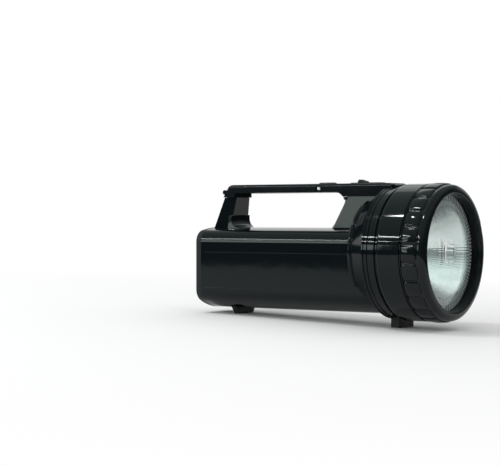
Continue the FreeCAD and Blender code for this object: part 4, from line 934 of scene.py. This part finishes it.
# The backdrop is white to the camera and in glass and gloss; in front of the lamp the room is dim at
# eye level and lighter overhead, and everything else gets an even soft light
def buildWorld():
    s = roomPlan
    world = bpy.data.worlds.new("studio")
    bpy.context.scene.world = world
    world.use_nodes = True
    tree = world.node_tree
    tree.nodes.clear()
    out = tree.nodes.new("ShaderNodeOutputWorld")
    path = tree.nodes.new("ShaderNodeLightPath")
    coord = tree.nodes.new("ShaderNodeTexCoord")
    split = tree.nodes.new("ShaderNodeSeparateXYZ")
    tree.links.new(coord.outputs["Generated"], split.inputs["Vector"])
    back = math2(tree, "ADD", math2(tree, "MULTIPLY", split.outputs["X"], s["behind"][0]),
                 math2(tree, "MULTIPLY", split.outputs["Y"], s["behind"][1]))
    fadeFrom = s["backdropTop"] - s["backdropFade"]
    low = ramp(tree, split.outputs["Z"], fadeFrom, s["backdropTop"], 1.0, 0.0)
    backdrop = math2(tree, "MULTIPLY", ramp(tree, back, s["sideFrom"], s["sideTo"]), low)
    front = ramp(tree, split.outputs["Z"], s["bandFrom"], s["bandTo"], s["bandLevel"], s["ceiling"])
    mirrored = math2(tree, "MAXIMUM", backdrop, front)
    fadeFrom = s["bandFrom"] - s["glassFade"]
    through = ramp(tree, split.outputs["Z"], fadeFrom, s["bandTo"], s["glassLow"], s["glassHigh"])
    through = math2(tree, "MAXIMUM", backdrop, through)
    level = stagePlan["ambient"]
    kinds = (("Is Glossy Ray", mirrored), ("Is Transmission Ray", through), ("Is Camera Ray", 1.0))
    for rays, value in kinds:
        pick = node(tree, "ShaderNodeMix", data_type="FLOAT")
        feed(tree, pick.inputs[0], path.outputs[rays])
        feed(tree, pick.inputs[2], level)
        feed(tree, pick.inputs[3], value)
        level = pick.outputs[0]
    sky = tree.nodes.new("ShaderNodeBackground")
    dim = math2(tree, "MULTIPLY", path.outputs["Is Glossy Ray"], math2(tree, "SUBTRACT", 1.0, backdrop))
    tree.links.new(blendColour(tree, dim, plainWhite, s["roomTint"]), sky.inputs["Color"])
    tree.links.new(level, sky.inputs["Strength"])
    tree.links.new(sky.outputs["Background"], out.inputs["Surface"])


def areaLight(name, place, target, width, height, power, colour):
    data = bpy.data.lights.new(name, "AREA")
    data.shape = "RECTANGLE"
    data.size = width
    data.size_y = height
    data.energy = power
    data.color = colour
    made = bpy.data.objects.new(name, data)
    bpy.context.scene.collection.objects.link(made)
    made.location = place
    made.rotation_euler = (Vector(target) - Vector(place)).to_track_quat("-Z", "Y").to_euler()


# Place in metres, width, height and power
lightPlan = {
    "key": ((-0.82, -0.86, 1.65), 0.22, 0.1, 8),
    "stripHigh": ((-1.2, -1.7, 0.93), 0.8, 0.03, 7),
    "stripLow": ((-1.2, -1.75, 0.66), 0.5, 0.02, 1.8),
    "wall": ((-1.7, -2.4, 0.42), 0.75, 0.4, 5),
    "back": ((-0.8, 1.7, 1.5), 1.6, 1.0, 3.5),
    "rimSpot": ((0.05, 1.7, 0.14), 0.14, 0.06, 0.3),
}
lampTint = (0.97, 1.0, 0.99)
wallTint = (0.85, 1.0, 0.93)
lightsAim = (-120, 0, 0)


def buildLights():
    target = lampPoint(*lightsAim)
    for name, (place, width, height, power) in lightPlan.items():
        areaLight(name, place, target, width, height, power, wallTint if name == "wall" else lampTint)


cameraPlan = {"place": (633.1, -1249.0, 34.18), "yaw": 34.62, "pitch": 0.648, "focal": 108.0,
              "sensor": 36.0}


def buildCamera():
    data = bpy.data.cameras.new("camera")
    data.lens = cameraPlan["focal"]
    data.sensor_width = cameraPlan["sensor"]
    camera = bpy.data.objects.new("camera", data)
    bpy.context.scene.collection.objects.link(camera)
    yaw, pitch = math.radians(cameraPlan["yaw"]), math.radians(cameraPlan["pitch"])
    look = Vector((-math.sin(yaw) * math.cos(pitch), math.cos(yaw) * math.cos(pitch), -math.sin(pitch)))
    right = Vector((math.cos(yaw), math.sin(yaw), 0))
    top = right.cross(look)
    turn = lampTurn @ Matrix((right, top, -look)).transposed()
    camera.matrix_world = Matrix.Translation(lampPoint(*cameraPlan["place"])) @ turn.to_4x4()
    bpy.context.scene.camera = camera


buildStage()
buildWorld()
buildLights()
buildCamera()
bpy.context.scene.view_settings.view_transform = "Standard"
print("stage, lights and camera set")
